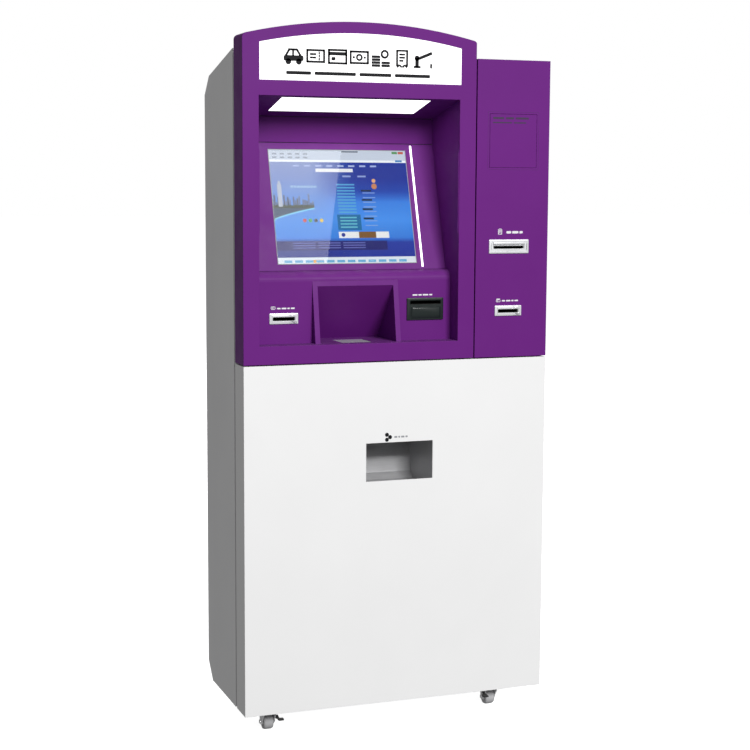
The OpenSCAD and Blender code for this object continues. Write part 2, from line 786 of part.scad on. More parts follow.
module paper_roll() color([0.96, 0.96, 0.94]) at_cabinet() difference() {
  rod_x([655, 728], roll_at, roll_r);
  rod_x([654, 729], roll_at, spindle_r + run);
}

// ---- locks ----

// A plug and cam about +X, its outer face at 0, the cam lying along +Y
module lock_plug(length) {
  rod_x([-length, 0], [0, 0], lock_r);
  box([-length - cam_t, -length], [-7, cam_l], [-6, 6]);
}

module head_lock() color(brass) at_cabinet()
  translate([head_x1, lock_y, head_lock_z]) lock_plug(22 - cam_t);

module lower_lock() color(brass) at_cabinet()
  translate([cab_w, lock_y, lower_lock_z]) lock_plug(22 - cam_t);

module column_lock() color(brass) at_cabinet()
  translate([column_lock_x, lock_y, column_h]) {
    rod_z([-22, 0], [0, 0], lock_r);
    box([-6, 6], [-7, cam_l], [-25, -22]);
  }

// ---- column door ----

module column_fascia() color(purple) at_cabinet() {
  x = [column_x0, cab_w];
  z = [door_z, column_h];
  difference() {
    union() {
      difference() {
        box(x, [0, depth_y], z);
        box(grow(x, -skin), [skin, depth_y + 1], grow(z, -skin));
      }
      rod_z([column_h - 13, column_h - 1], [column_lock_x, lock_y], lock_r + 3);
    }
    box(notice_x, [-1, skin + 1], notice_z);
    box([641.5, 741.5], [-1, skin + 1], [1134.5, 1162.5]);
    card_cutout(bank_at, 0);
    rod_z([column_h - 14, column_h + 1], [column_lock_x, lock_y], lock_r + run);
  }
  other_side()
    for (z = upper_hinges)
      door_lug(z);
}

module notice_plate() color(purple) at_cabinet() {
  box(grow(notice_x, -0.7), [0, skin + 0.2], grow(notice_z, -0.7));
  box(grow(notice_x, 8), [skin + 0.2, skin + 2], grow(notice_z, 8));
}

// ---- service door ----

module lower_door_panel() color(white) at_cabinet() {
  z1 = lower_h - door_gap / 2;
  difference() {
    union() {
      box([0, cab_w], [0, skin], [0, z1]);
      difference() {
        box([0, cab_w], [0, depth_y], [0, z1]);
        box([skin, cab_w - skin], [-1, depth_y + 1], [-1, z1 - skin]);
      }
      rod_x([cab_w - 13, cab_w - 1], [lock_y, lower_lock_z], lock_r + 3);
    }
    box([cup_x0, cup_x1], [-1, skin + 1], [cup_z0, cup_z1]);
    rod_x([cab_w - 14, cab_w + 1], [lock_y, lower_lock_z], lock_r + run);
  }
  for (z = lower_hinges)
    door_lug(z);
}

module coin_cup() color(grey) at_cabinet() {
  wall = [[skin, 547], [135, 547], [153, 563], [155, 607], [173, 638], [skin + 0.5, cup_z1]];
  difference() {
    box([cup_x0 - 18, cup_x1 + 18], [skin, skin + 2], [540, cup_z1 + 14]);
    box([cup_x0, cup_x1], [0, 5], [547, cup_z1]);
  }
  box([cup_x0, cup_x1], [skin, skin + 2], [547, cup_z0 - 1]);
  difference() {
    across([cup_x0 - skin, cup_x1 + skin]) polygon(band(wall, -skin));
    box([366, 404], [130, 160], [630, 665]);
  }
  for (x = [[cup_x0 - skin, cup_x0], [cup_x1, cup_x1 + skin]])
    across(x) polygon(wall);
}

left_side_panel();
right_side_panel();
roof_panels();
rear_panel();
base_pan();
front_frame();
device_shelf();
control_pc();
power_supply();
coin_hopper();
coin_chute();
fan_frame();
fan_rotor();
coin_box();
cable_gland();
castor_plates();
rear_castor_forks();
castor_bolts();
hinge_pins();
panel_screws();
head_fascia();
sign_panel();
sign_backlight();
bay_ceiling();
downlight_lens();
bay_cheeks();
bay_back();
screen_panel();
touch_glass();
screen_module();
screen_trim();
console_panel();
pocket_liner();
pocket_window();
ticket_card_bezel();
ticket_card_reader();
note_bezel();
note_acceptor();
note_cassette();
head_lock();
column_fascia();
notice_plate();
receipt_bezel();
receipt_printer();
paper_roll();
bank_card_bezel();
bank_card_reader();
column_lock();
lower_door_panel();
coin_cup();
lower_lock();
left_castor_fork();
right_castor_fork();
front_left_wheel();
front_right_wheel();
rear_left_wheel();
rear_right_wheel();
left_brake_pedal();
right_brake_pedal();
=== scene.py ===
import json
from math import copysign, cos, pi, radians, sin

import bmesh
import bpy
from mathutils import Matrix, Vector


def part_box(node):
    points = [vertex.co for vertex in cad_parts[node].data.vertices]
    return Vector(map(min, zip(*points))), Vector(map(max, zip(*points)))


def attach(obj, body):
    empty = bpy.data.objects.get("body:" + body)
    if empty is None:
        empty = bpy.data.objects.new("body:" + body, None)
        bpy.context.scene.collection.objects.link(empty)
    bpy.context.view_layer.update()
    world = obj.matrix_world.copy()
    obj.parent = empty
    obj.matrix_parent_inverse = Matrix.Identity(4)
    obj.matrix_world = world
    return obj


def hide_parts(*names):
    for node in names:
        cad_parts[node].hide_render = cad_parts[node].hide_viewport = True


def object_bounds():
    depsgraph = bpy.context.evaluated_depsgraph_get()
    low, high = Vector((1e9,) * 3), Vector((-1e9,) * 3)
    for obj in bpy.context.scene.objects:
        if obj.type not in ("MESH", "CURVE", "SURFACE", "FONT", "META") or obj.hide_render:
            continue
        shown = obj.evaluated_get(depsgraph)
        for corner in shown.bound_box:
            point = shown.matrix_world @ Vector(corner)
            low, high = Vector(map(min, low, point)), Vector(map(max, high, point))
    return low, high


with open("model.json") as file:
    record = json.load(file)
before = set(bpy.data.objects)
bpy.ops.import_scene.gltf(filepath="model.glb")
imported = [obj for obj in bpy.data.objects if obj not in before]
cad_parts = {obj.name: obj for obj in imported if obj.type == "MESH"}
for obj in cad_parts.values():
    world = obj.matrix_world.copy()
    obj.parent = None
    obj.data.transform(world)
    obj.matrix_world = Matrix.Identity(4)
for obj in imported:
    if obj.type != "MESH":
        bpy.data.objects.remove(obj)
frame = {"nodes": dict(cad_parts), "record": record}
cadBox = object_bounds()
print("frame loaded:", len(frame["nodes"]), "nodes")

mm = 0.001
slotOf = {part["node"]: part["material_slot"] for part in frame["record"]["subparts"]}
bodyOf = {node: body for body, nodes in frame["record"]["behaviour"]["bodies"].items() for node in nodes}


def findScreen():
    # the glass's own axes (right, up, out), its lower left front corner, and its width and height
    mesh = frame["nodes"]["touch_glass"].data
    out = max((f for f in mesh.polygons if f.normal.y < 0), key=lambda f: f.area).normal.copy()
    right = Vector((1, 0, 0))
    up = out.cross(right)
    low = [min(v.co.dot(axis) for v in mesh.vertices) for axis in (right, up)]
    high = [max(v.co.dot(axis) for v in mesh.vertices) for axis in (right, up, out)]
    corner = right * low[0] + up * low[1] + out * high[2]
    return right, up, out, corner, high[0] - low[0], high[1] - low[1]


screenRight, screenUp, screenOut, screenCorner, screenWidth, screenHeight = findScreen()


# ---- camera, light and floor ----

cameraSettings = {
    "location": (-1.423, -3.8805, 1.3588),
    "pitchDown": 0.1182,
    "turn": -0.3509,
    "roll": -0.0049,
    "lens": 77.33,
}
lightSettings = {
    "ambient": 0.25,                # soft light from all round
    "keyPower": 975, "keySize": 3.0, "keyDistance": 10.5, "keyTurn": 7, "keyHeight": 28,
    "rimPower": 260, "rimSize": 4.0, "rimDistance": 8.0, "rimTurn": 155, "rimHeight": 35,
    # a card whose reflection crosses the left part of the screen's glass, up to a slanting edge
    "cardLevel": 1.9, "cardWidth": 1.1, "cardHeight": 1.5, "cardDistance": 6.0,
    "cardTop": 0.53, "cardBottom": 0.35,
}


def addCamera(settings):
    data = bpy.data.cameras.new("camera")
    data.lens = settings["lens"]
    camera = bpy.data.objects.new("camera", data)
    camera.location = settings["location"]
    camera.rotation_euler = (pi / 2 - settings["pitchDown"], settings["roll"], settings["turn"])
    bpy.context.scene.collection.objects.link(camera)
    bpy.context.scene.camera = camera


def addSoftbox(name, power, size, distance, turn, height):
    # turn is measured from the front towards +X, height above the horizon
    aim = (cadBox[0] + cadBox[1]) / 2
    direction = Vector((sin(radians(turn)) * cos(radians(height)),
                        -cos(radians(turn)) * cos(radians(height)), sin(radians(height))))
    data = bpy.data.lights.new(name, "AREA")
    data.energy = power
    data.size = size
    lamp = bpy.data.objects.new(name, data)
    lamp.location = aim + direction * distance
    lamp.rotation_euler = direction.to_track_quat("Z", "Y").to_euler()
    bpy.context.scene.collection.objects.link(lamp)


def addWorld(ambient):
    # a white backdrop, which lights the object more gently than it looks
    world = bpy.data.worlds.new("studio")
    world.use_nodes = True
    tree = world.node_tree
    back = tree.nodes["Background"]
    path = tree.nodes.new("ShaderNodeLightPath")
    level = tree.nodes.new("ShaderNodeMapRange")
    level.inputs["To Min"].default_value = ambient
    level.inputs["To Max"].default_value = 1.0
    back.inputs["Color"].default_value = (1, 1, 1, 1)
    tree.links.new(path.outputs["Is Camera Ray"], level.inputs["Value"])
    tree.links.new(level.outputs["Result"], back.inputs["Strength"])
    bpy.context.scene.world = world


def addFloor():
    bm = bmesh.new()
    bmesh.ops.create_grid(bm, x_segments=1, y_segments=1, size=60)
    mesh = bpy.data.meshes.new("floor")
    bm.to_mesh(mesh)
    bm.free()
    floor = bpy.data.objects.new("floor", mesh)
    material = bpy.data.materials.new("floor")
    material.use_nodes = True
    shader = material.node_tree.nodes["Principled BSDF"]
    shader.inputs["Base Color"].default_value = (0.97, 0.97, 0.97, 1)
    shader.inputs["Roughness"].default_value = 0.9
    shader.inputs["Specular IOR Level"].default_value = 0.1
    shader.inputs["Emission Color"].default_value = (1, 1, 1, 1)
    shader.inputs["Emission Strength"].default_value = 0.8      # keeps the floor as pale as the backdrop
    mesh.materials.append(material)
    bpy.context.scene.collection.objects.link(floor)
    # the soft light is set by the world alone
    floor.visible_diffuse = False
    floor.visible_glossy = False


def addGlareCard(settings):
    camera = Vector(cameraSettings["location"])

    def mirrored(across, up):
        # where the camera's ray to a place on the glass goes after its reflection
        place = screenCorner + screenRight * across * screenWidth + screenUp * up * screenHeight
        ray = (place - camera).normalized()
        return place + (ray - 2 * ray.dot(screenOut) * screenOut) * settings["cardDistance"]

    top, bottom = mirrored(settings["cardTop"], 1), mirrored(settings["cardBottom"], 0)
    edge = (top - bottom).normalized()
    away = (mirrored(0.25, 0.5) - screenCorner).normalized()
    aside = edge.cross(away).normalized()
    if aside.dot(mirrored(0, 0.5) - mirrored(1, 0.5)) < 0:
        aside.negate()
    upright = away.cross(aside)
    data = bpy.data.lights.new("glareCard", "AREA")
    data.shape = "RECTANGLE"
    data.size, data.size_y = settings["cardWidth"], settings["cardHeight"]
    data.energy = settings["cardLevel"] * pi * settings["cardWidth"] * settings["cardHeight"]
    card = bpy.data.objects.new("glareCard", data)
    axes = Matrix((aside, upright, away)).transposed().to_4x4()
    middle = (top + bottom) / 2 + aside * settings["cardWidth"] / 2
    card.matrix_world = Matrix.Translation(middle) @ axes
    bpy.context.scene.collection.objects.link(card)


addCamera(cameraSettings)
addWorld(lightSettings["ambient"])
for lampName in ("key", "rim"):
    addSoftbox(lampName, *[lightSettings[lampName + part]
                           for part in ("Power", "Size", "Distance", "Turn", "Height")])
addFloor()
addGlareCard(lightSettings)
bpy.context.scene.view_settings.view_transform = "Standard"
print("camera, light and floor ready")


# ---- shared shader groups ----

def addNode(tree, kind, **settings):
    node = tree.nodes.new(kind)
    for key, value in settings.items():
        setattr(node, key, value)
    return node


def newGroup(name, inputs, outputs):
    group = bpy.data.node_groups.new(name, "ShaderNodeTree")
    for label, kind, value in inputs:
        group.interface.new_socket(label, in_out="INPUT", socket_type=kind).default_value = value
    for label, kind in outputs:
        group.interface.new_socket(label, in_out="OUTPUT", socket_type=kind)
    return group, addNode(group, "NodeGroupInput"), addNode(group, "NodeGroupOutput")


def noise(tree, vector, scale, detail=3):
    # scale is a number or a socket, in features a metre
    node = addNode(tree, "ShaderNodeTexNoise")
    node.inputs["Detail"].default_value = detail
    tree.links.new(vector, node.inputs["Vector"])
    if isinstance(scale, (int, float)):
        node.inputs["Scale"].default_value = scale
    else:
        tree.links.new(scale, node.inputs["Scale"])
    return node.outputs[0]


def remap(tree, value, fromMin, fromMax, toMin, toMax):
    node = addNode(tree, "ShaderNodeMapRange")
    for label, number in zip(("From Min", "From Max", "To Min", "To Max"),
                             (fromMin, fromMax, toMin, toMax)):
        node.inputs[label].default_value = number
    tree.links.new(value, node.inputs["Value"])
    return node.outputs["Result"]


def calc(tree, operation, first, second, clamp=False):
    node = addNode(tree, "ShaderNodeMath", operation=operation, use_clamp=clamp)
    for socket, value in zip(node.inputs, (first, second)):
        if isinstance(value, (int, float)):
            socket.default_value = value
        else:
            tree.links.new(value, socket)
    return node.outputs[0]


def mixColour(tree, mask, first, second, blend="MIX"):
    node = addNode(tree, "ShaderNodeMix", data_type="RGBA", blend_type=blend)
    for index, value in ((0, mask), (6, first), (7, second)):
        if isinstance(value, (int, float, tuple)):
            node.inputs[index].default_value = value
        else:
            tree.links.new(value, node.inputs[index])
    return node.outputs[2]


def bumpOf(tree, height, distance):
    node = addNode(tree, "ShaderNodeBump")
    tree.links.new(height, node.inputs["Height"])
    if isinstance(distance, (int, float)):
        node.inputs["Distance"].default_value = distance
    else:
        tree.links.new(distance, node.inputs["Distance"])
    return node.outputs["Normal"]


def makeWearGroup():
    group, given, made = newGroup(
        "coating wear",
        [("Colour", "NodeSocketColor", (0.8, 0.8, 0.8, 1)),
         ("Edge Colour", "NodeSocketColor", (0.5, 0.5, 0.5, 1)),
         ("Edge Wear", "NodeSocketFloat", 0.3), ("Mottle", "NodeSocketFloat", 0.05),
         ("Dust", "NodeSocketFloat", 0.1), ("Roughness", "NodeSocketFloat", 0.4),
         ("Grain Size", "NodeSocketFloat", 900), ("Grain Depth", "NodeSocketFloat", 0.00002)],
        [("Colour", "NodeSocketColor"), ("Roughness", "NodeSocketFloat"),
         ("Normal", "NodeSocketVector")])
    place = addNode(group, "ShaderNodeTexCoord").outputs["Object"]
    surface = addNode(group, "ShaderNodeNewGeometry").outputs["Normal"]
    # where a rounded normal leaves the true one there is an edge
    rounded = addNode(group, "ShaderNodeBevel", samples=4)
    rounded.inputs["Radius"].default_value = 0.0014
    facing = addNode(group, "ShaderNodeVectorMath", operation="DOT_PRODUCT")
    group.links.new(rounded.outputs["Normal"], facing.inputs[0])
    group.links.new(surface, facing.inputs[1])
    edge = remap(group, facing.outputs["Value"], 0.985, 0.9, 0, 1)
    chips = remap(group, noise(group, place, 140, 5), 0.5, 0.62, 0, 1)
    worn = calc(group, "MULTIPLY", calc(group, "MULTIPLY", edge, chips), given.outputs["Edge Wear"])
    # dust settles on faces that look up
    split = addNode(group, "ShaderNodeSeparateXYZ")
    group.links.new(surface, split.inputs[0])
    level = remap(group, split.outputs["Z"], 0.45, 0.95, 0, 1)
    patches = remap(group, noise(group, place, 35, 6), 0.35, 0.7, 0.25, 1)
    dusty = calc(group, "MULTIPLY", calc(group, "MULTIPLY", level, patches), given.outputs["Dust"])
    cloudy = remap(group, noise(group, place, 4, 5), 0.3, 0.7, -1, 1)
    shade = calc(group, "ADD", calc(group, "MULTIPLY", cloudy, given.outputs["Mottle"]), 1)
    tint = addNode(group, "ShaderNodeVectorMath", operation="SCALE")
    group.links.new(given.outputs["Colour"], tint.inputs[0])
    group.links.new(shade, tint.inputs["Scale"])
    colour = mixColour(group, worn, tint.outputs[0], given.outputs["Edge Colour"])
    colour = mixColour(group, dusty, colour, (0.46, 0.44, 0.41, 1))
    group.links.new(colour, made.inputs["Colour"])
    smudge = remap(group, noise(group, place, 17, 4), 0.3, 0.7, -0.05, 0.06)
    rough = calc(group, "ADD", given.outputs["Roughness"], smudge)
    rough = calc(group, "ADD", rough, calc(group, "MULTIPLY", dusty, 0.4), True)
    group.links.new(rough, made.inputs["Roughness"])
    peel = noise(group, place, given.outputs["Grain Size"], 2)
    group.links.new(bumpOf(group, peel, given.outputs["Grain Depth"]), made.inputs["Normal"])
    return group


def makeBrushGroup():
    group, given, made = newGroup(
        "brushed grain",
        [("Colour", "NodeSocketColor", (0.8, 0.8, 0.8, 1)), ("Roughness", "NodeSocketFloat", 0.3),
         ("Stretch", "NodeSocketVector", (30, 1500, 1500)), ("Contrast", "NodeSocketFloat", 0.1),
         ("Depth", "NodeSocketFloat", 0.000004)],
        [("Colour", "NodeSocketColor"), ("Roughness", "NodeSocketFloat"),
         ("Normal", "NodeSocketVector")])
    place = addNode(group, "ShaderNodeTexCoord").outputs["Object"]
    pulled = addNode(group, "ShaderNodeVectorMath", operation="MULTIPLY")
    group.links.new(place, pulled.inputs[0])
    group.links.new(given.outputs["Stretch"], pulled.inputs[1])
    lines = noise(group, pulled.outputs[0], 1, 4)
    stains = noise(group, place, 25, 4)
    swing = calc(group, "MULTIPLY", remap(group, lines, 0.3, 0.7, -1, 1), given.outputs["Contrast"])
    tint = addNode(group, "ShaderNodeVectorMath", operation="SCALE")
    group.links.new(given.outputs["Colour"], tint.inputs[0])
    group.links.new(calc(group, "ADD", swing, 1), tint.inputs["Scale"])
    group.links.new(tint.outputs[0], made.inputs["Colour"])
    rough = calc(group, "ADD", given.outputs["Roughness"], swing)
    rough = calc(group, "ADD", rough, remap(group, stains, 0.3, 0.7, -0.05, 0.08), True)
    group.links.new(rough, made.inputs["Roughness"])
    group.links.new(bumpOf(group, lines, given.outputs["Depth"]), made.inputs["Normal"])
    return group


wearGroup = makeWearGroup()
brushGroup = makeBrushGroup()


# ---- materials, one for each slot of the record ----

def newMaterial(name):
    material = bpy.data.materials.new(name)
    material.use_nodes = True
    return material, material.node_tree, material.node_tree.nodes["Principled BSDF"]


def setShader(shader, values):
    for label, value in values.items():
        shader.inputs[label].default_value = value


def coated(name, colour, edge, wear, mottle, dust, roughness, grain, depth, **shaderValues):
    # paint, moulded plastic, rubber and paper
    material, tree, shader = newMaterial(name)
    node = addNode(tree, "ShaderNodeGroup", node_tree=wearGroup)
    for label, value in zip(("Colour", "Edge Colour", "Edge Wear", "Mottle", "Dust", "Roughness",
                             "Grain Size", "Grain Depth"),
                            ((*colour, 1), (*edge, 1), wear, mottle, dust, roughness, grain, depth)):
        node.inputs[label].default_value = value
    tree.links.new(node.outputs["Colour"], shader.inputs["Base Color"])
    tree.links.new(node.outputs["Roughness"], shader.inputs["Roughness"])
    tree.links.new(node.outputs["Normal"], shader.inputs["Normal"])
    setShader(shader, {label.replace("_", " "): value for label, value in shaderValues.items()})
    return material


def brushed(name, colour, roughness, stretch, contrast, metallic=1.0, depth=0.000004):
    material, tree, shader = newMaterial(name)
    node = addNode(tree, "ShaderNodeGroup", node_tree=brushGroup)
    for label, value in zip(("Colour", "Roughness", "Stretch", "Contrast", "Depth"),
                            ((*colour, 1), roughness, stretch, contrast, depth)):
        node.inputs[label].default_value = value
    for label in ("Roughness", "Normal"):
        tree.links.new(node.outputs[label], shader.inputs[label])
    tree.links.new(node.outputs["Colour"], shader.inputs["Base Color"])
    shader.inputs["Metallic"].default_value = metallic
    return material


def clearGlass(name, colour, roughness, clearness):
    material, tree, shader = newMaterial(name)
    place = addNode(tree, "ShaderNodeTexCoord").outputs["Object"]
    smears = remap(tree, noise(tree, place, 14, 5), 0.45, 0.75, roughness, roughness + 0.02)
    tree.links.new(smears, shader.inputs["Roughness"])
    setShader(shader, {"Base Color": (*colour, 1), "Transmission Weight": clearness, "IOR": 1.46,
                       "Specular IOR Level": 0.22})
    return material


def glowing(name, colour, strength, unevenness):
    material, tree, shader = newMaterial(name)
    place = addNode(tree, "ShaderNodeTexCoord").outputs["Object"]
    low = tuple(c * (1 - unevenness) for c in colour) + (1,)
    blotch = remap(tree, noise(tree, place, 9, 2), 0.35, 0.65, 0, 1)
    tree.links.new(mixColour(tree, blotch, low, (*colour, 1)), shader.inputs["Emission Color"])
    setShader(shader, {"Base Color": (0.85, 0.85, 0.85, 1), "Roughness": 0.3, "Emission Strength": strength})
    return material


def printed(name):
    # reads each piece's own face colours and glows with them
    material, tree, shader = newMaterial(name)
    ink = addNode(tree, "ShaderNodeAttribute", attribute_name="ink")
    tree.links.new(ink.outputs["Color"], shader.inputs["Emission Color"])
    setShader(shader, {"Base Color": (0.01, 0.01, 0.012, 1), "Roughness": 0.4, "Specular IOR Level": 0.05,
                       "Emission Strength": 1})
    return material


purple = (0.137, 0.014, 0.2)
materials = {
    "purple_paint": coated("purple_paint", purple, (0.26, 0.1, 0.34), 0.3, 0.04, 0.08, 0.48,
                           1100, 0.00003, Specular_IOR_Level=0.13),
    "white_paint": coated("white_paint", (0.86, 0.86, 0.86), (0.62, 0.62, 0.62), 0.3, 0.012, 0.1, 0.42,
                          1100, 0.00003, Specular_IOR_Level=0.35),
    "grey_paint": coated("grey_paint", (0.86, 0.86, 0.865), (0.6, 0.6, 0.6), 0.3, 0.02, 0.16, 0.45,
                         1100, 0.00003, Specular_IOR_Level=0.35),
    "zinc_steel": brushed("zinc_steel", (0.86, 0.86, 0.87), 0.36, (160, 160, 160), 0.12, 0.5),
    "bright_steel": brushed("bright_steel", (0.72, 0.73, 0.75), 0.24, (900, 900, 60), 0.08, 0.8),
    "silver_bezel": brushed("silver_bezel", (0.83, 0.84, 0.86), 0.34, (60, 1800, 1800), 0.06, 0.4),
    "cup_steel": brushed("cup_steel", (0.5, 0.5, 0.51), 0.4, (40, 1500, 1500), 0.08, 0.5),
    "black_plastic": coated("black_plastic", (0.018, 0.019, 0.021), (0.05, 0.05, 0.05), 0.4, 0.1, 0.18,
                            0.5, 1500, 0.00004),
    "note_plastic": coated("note_plastic", (0.012, 0.019, 0.018), (0.06, 0.07, 0.07), 0.4, 0.08, 0.1,
                           0.3, 1500, 0.00002),
    "cassette_red": coated("cassette_red", (0.36, 0.035, 0.035), (0.45, 0.1, 0.1), 0.4, 0.08, 0.1,
                           0.42, 1500, 0.00004),
    "sign_acrylic": glowing("sign_acrylic", (1, 1, 1), 0.75, 0.04),
    "lens_acrylic": glowing("lens_acrylic", (1, 0.99, 0.97), 1.8, 0.03),
    "led_tray": coated("led_tray", (0.85, 0.85, 0.83), (0.8, 0.8, 0.8), 0.1, 0.02, 0.1, 0.5,
                       1500, 0.00002),
    "screen_black": coated("screen_black", (0.012, 0.012, 0.014), (0.03, 0.03, 0.03), 0.2, 0.05, 0.05,
                           0.22, 1500, 0.00001),
    "touch_glass": clearGlass("touch_glass", (0.97, 0.985, 1.0), 0.0, 1.0),
    "pocket_glass": clearGlass("pocket_glass", (0.74, 0.8, 0.73), 0.1, 0.12),
    "wheel_rubber": coated("wheel_rubber", (0.46, 0.46, 0.47), (0.55, 0.55, 0.55), 0.5, 0.12, 0.3,
                           0.62, 1300, 0.00006),
    "lock_brass": brushed("lock_brass", (0.66, 0.52, 0.27), 0.28, (900, 900, 900), 0.08),
    "thermal_paper": coated("thermal_paper", (0.9, 0.9, 0.87), (0.8, 0.8, 0.78), 0.2, 0.03, 0.05,
                            0.75, 2400, 0.00003),
}
extraMaterials = {
    "blackInk": coated("black_ink", (0.006, 0.006, 0.008), (0.02, 0.02, 0.02), 0.2, 0.05, 0, 0.6,
                       1500, 0.00001, Specular_IOR_Level=0.2),
    "whiteInk": coated("white_ink", (0.8, 0.8, 0.82), (0.6, 0.6, 0.6), 0.2, 0.03, 0, 0.5,
                       1500, 0.00001),
    "greyInk": coated("grey_ink", (0.3, 0.31, 0.33), (0.4, 0.4, 0.4), 0.2, 0.05, 0, 0.5,
                      1500, 0.00001),
    "violetInk": coated("violet_ink", (0.03, 0.006, 0.05), (0.05, 0.02, 0.07), 0.2, 0.05, 0, 0.5,
                        1500, 0.00001),
    "foam": coated("foam", (0.02, 0.02, 0.021), (0.03, 0.03, 0.03), 0.1, 0.15, 0.1, 0.85,
                   700, 0.0002),
    "board": coated("board", (0.012, 0.09, 0.035), (0.03, 0.12, 0.05), 0.2, 0.15, 0.1, 0.4,
                    1200, 0.00003),
    "greenGlow": glowing("green_glow", (0.2, 1.0, 0.35), 1.4, 0.1),
    "ledGlow": glowing("led_glow", (1.0, 0.97, 0.9), 1.6, 0.05),
    "display": printed("display"),
}
print("materials ready:", len(materials) + len(extraMaterials))


# ---- piece helpers: shapes are drawn in millimetres, then placed in the row frame ----

sides = {       # the directions that read as right and up for somebody looking at that side
    "front": ((1, 0, 0), (0, 0, 1)), "rear": ((-1, 0, 0), (0, 0, 1)), "right": ((0, 1, 0), (0, 0, 1)),
    "left": ((0, -1, 0), (0, 0, 1)), "top": ((1, 0, 0), (0, 1, 0)), "under": ((1, 0, 0), (0, -1, 0)),
}


def faceOf(node, side, sink=0.0):
    # a frame on one side of a node's box, its origin at the lower left corner, z pointing out of it;
    # sink moves it inwards, in millimetres
    low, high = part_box(node)
    across, up = (Vector(axis) for axis in sides[side])
    out = across.cross(up)
    inwards = across + up - out
    corner = Vector([low[i] if inwards[i] > 0 else high[i] for i in range(3)]) - out * sink * mm
    return Matrix.Translation(corner) @ Matrix((across, up, out)).transposed().to_4x4()


def sizeOf(node, side):
    low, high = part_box(node)
    across, up = (Vector(axis) for axis in sides[side])
    return abs(across.dot(high - low)) / mm, abs(up.dot(high - low)) / mm


def finishPiece(name, bm, body, slot, material=None, place=None, replaces=(), sharp=40, weighted=False):
    if place is not None:
        bmesh.ops.transform(bm, matrix=place @ Matrix.Scale(mm, 4), verts=bm.verts)
        bmesh.ops.recalc_face_normals(bm, faces=bm.faces)
    for face in bm.faces:
        face.smooth = True
    mesh = bpy.data.meshes.new(name)
    bm.to_mesh(mesh)
    bm.free()
    mesh.set_sharp_from_angle(angle=radians(sharp))
    mesh.materials.append(material or materials[slot])
    piece = bpy.data.objects.new(name, mesh)
    bpy.context.scene.collection.objects.link(piece)
    if weighted:
        piece.modifiers.new("flat faces", "WEIGHTED_NORMAL").keep_sharp = True
    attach(piece, body)
    if replaces:
        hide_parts(*replaces)
    return piece


def bevelEdges(bm, edges, width, segments=2):
    return bmesh.ops.bevel(bm, geom=edges, offset=width, offset_type="OFFSET", segments=segments,
                           profile=0.5, affect="EDGES", clamp_overlap=False, material=-1)


def finishCad(node, width):
    # a copy of a CAD node with its corners broken
    bm = bmesh.new()
    bm.from_mesh(frame["nodes"][node].data)
    bmesh.ops.remove_doubles(bm, verts=bm.verts, dist=2e-6)
    bmesh.ops.dissolve_limit(bm, angle_limit=radians(0.5), verts=bm.verts, edges=bm.edges)
    edges = [e for e in bm.edges if len(e.link_faces) == 2 and e.calc_face_angle(0) > radians(35)]
    bevelEdges(bm, edges, width * mm)
    return finishPiece(node + "_finished", bm, bodyOf[node], slotOf[node], replaces=(node,),
                       weighted=True)


def bar(bm, x, y, z, rounding=0.0, segments=3):
    # a block from its low and high value along each axis, its upright corners rounded
    size = Vector((x[1] - x[0], y[1] - y[0], z[1] - z[0]))
    middle = Vector((x[0] + x[1], y[0] + y[1], z[0] + z[1])) / 2
    made = bmesh.ops.create_cube(bm, size=1, matrix=Matrix.Translation(middle) @ Matrix.Diagonal((*size, 1)))
    if rounding:
        edges = {e for v in made["verts"] for e in v.link_edges
                 if abs(e.verts[0].co.z - e.verts[1].co.z) > 1e-6}
        bevelEdges(bm, list(edges), rounding, segments)
    return made["verts"]


def disc(bm, x, y, z, radius, sides=24):
    place = Matrix.Translation((x, y, (z[0] + z[1]) / 2))
    return bmesh.ops.create_cone(bm, cap_ends=True, segments=sides, radius1=radius, radius2=radius,
                                 depth=z[1] - z[0], matrix=place)["verts"]


def hoop(bm, x, y, z, radius, width, sides=32):
    # a flat ring: a small rectangle spun about the Z axis
    made = bmesh.ops.create_grid(bm, x_segments=1, y_segments=1, size=0.5)["verts"]
    lift = Matrix.Translation((x + radius - width / 2, y, (z[0] + z[1]) / 2))
    shape = Matrix.Rotation(pi / 2, 4, "X") @ Matrix.Diagonal((width, z[1] - z[0], 1, 1))
    bmesh.ops.transform(bm, matrix=lift @ shape, verts=made)
    faces = list({f for v in made for f in v.link_faces})
    edges = list({e for v in made for e in v.link_edges})
    bmesh.ops.spin(bm, geom=made + edges + faces, cent=(x, y, 0), axis=(0, 0, 1), angle=2 * pi,
                   steps=sides, use_merge=True)
    bmesh.ops.delete(bm, geom=faces, context="FACES_ONLY")


def slantBar(bm, x, y, z, length, width, angle):
    made = bar(bm, (-length / 2, length / 2), (-width / 2, width / 2), z)
    turn = Matrix.Translation((x, y, 0)) @ Matrix.Rotation(radians(angle), 4, "Z")
    bmesh.ops.transform(bm, matrix=turn, verts=made)


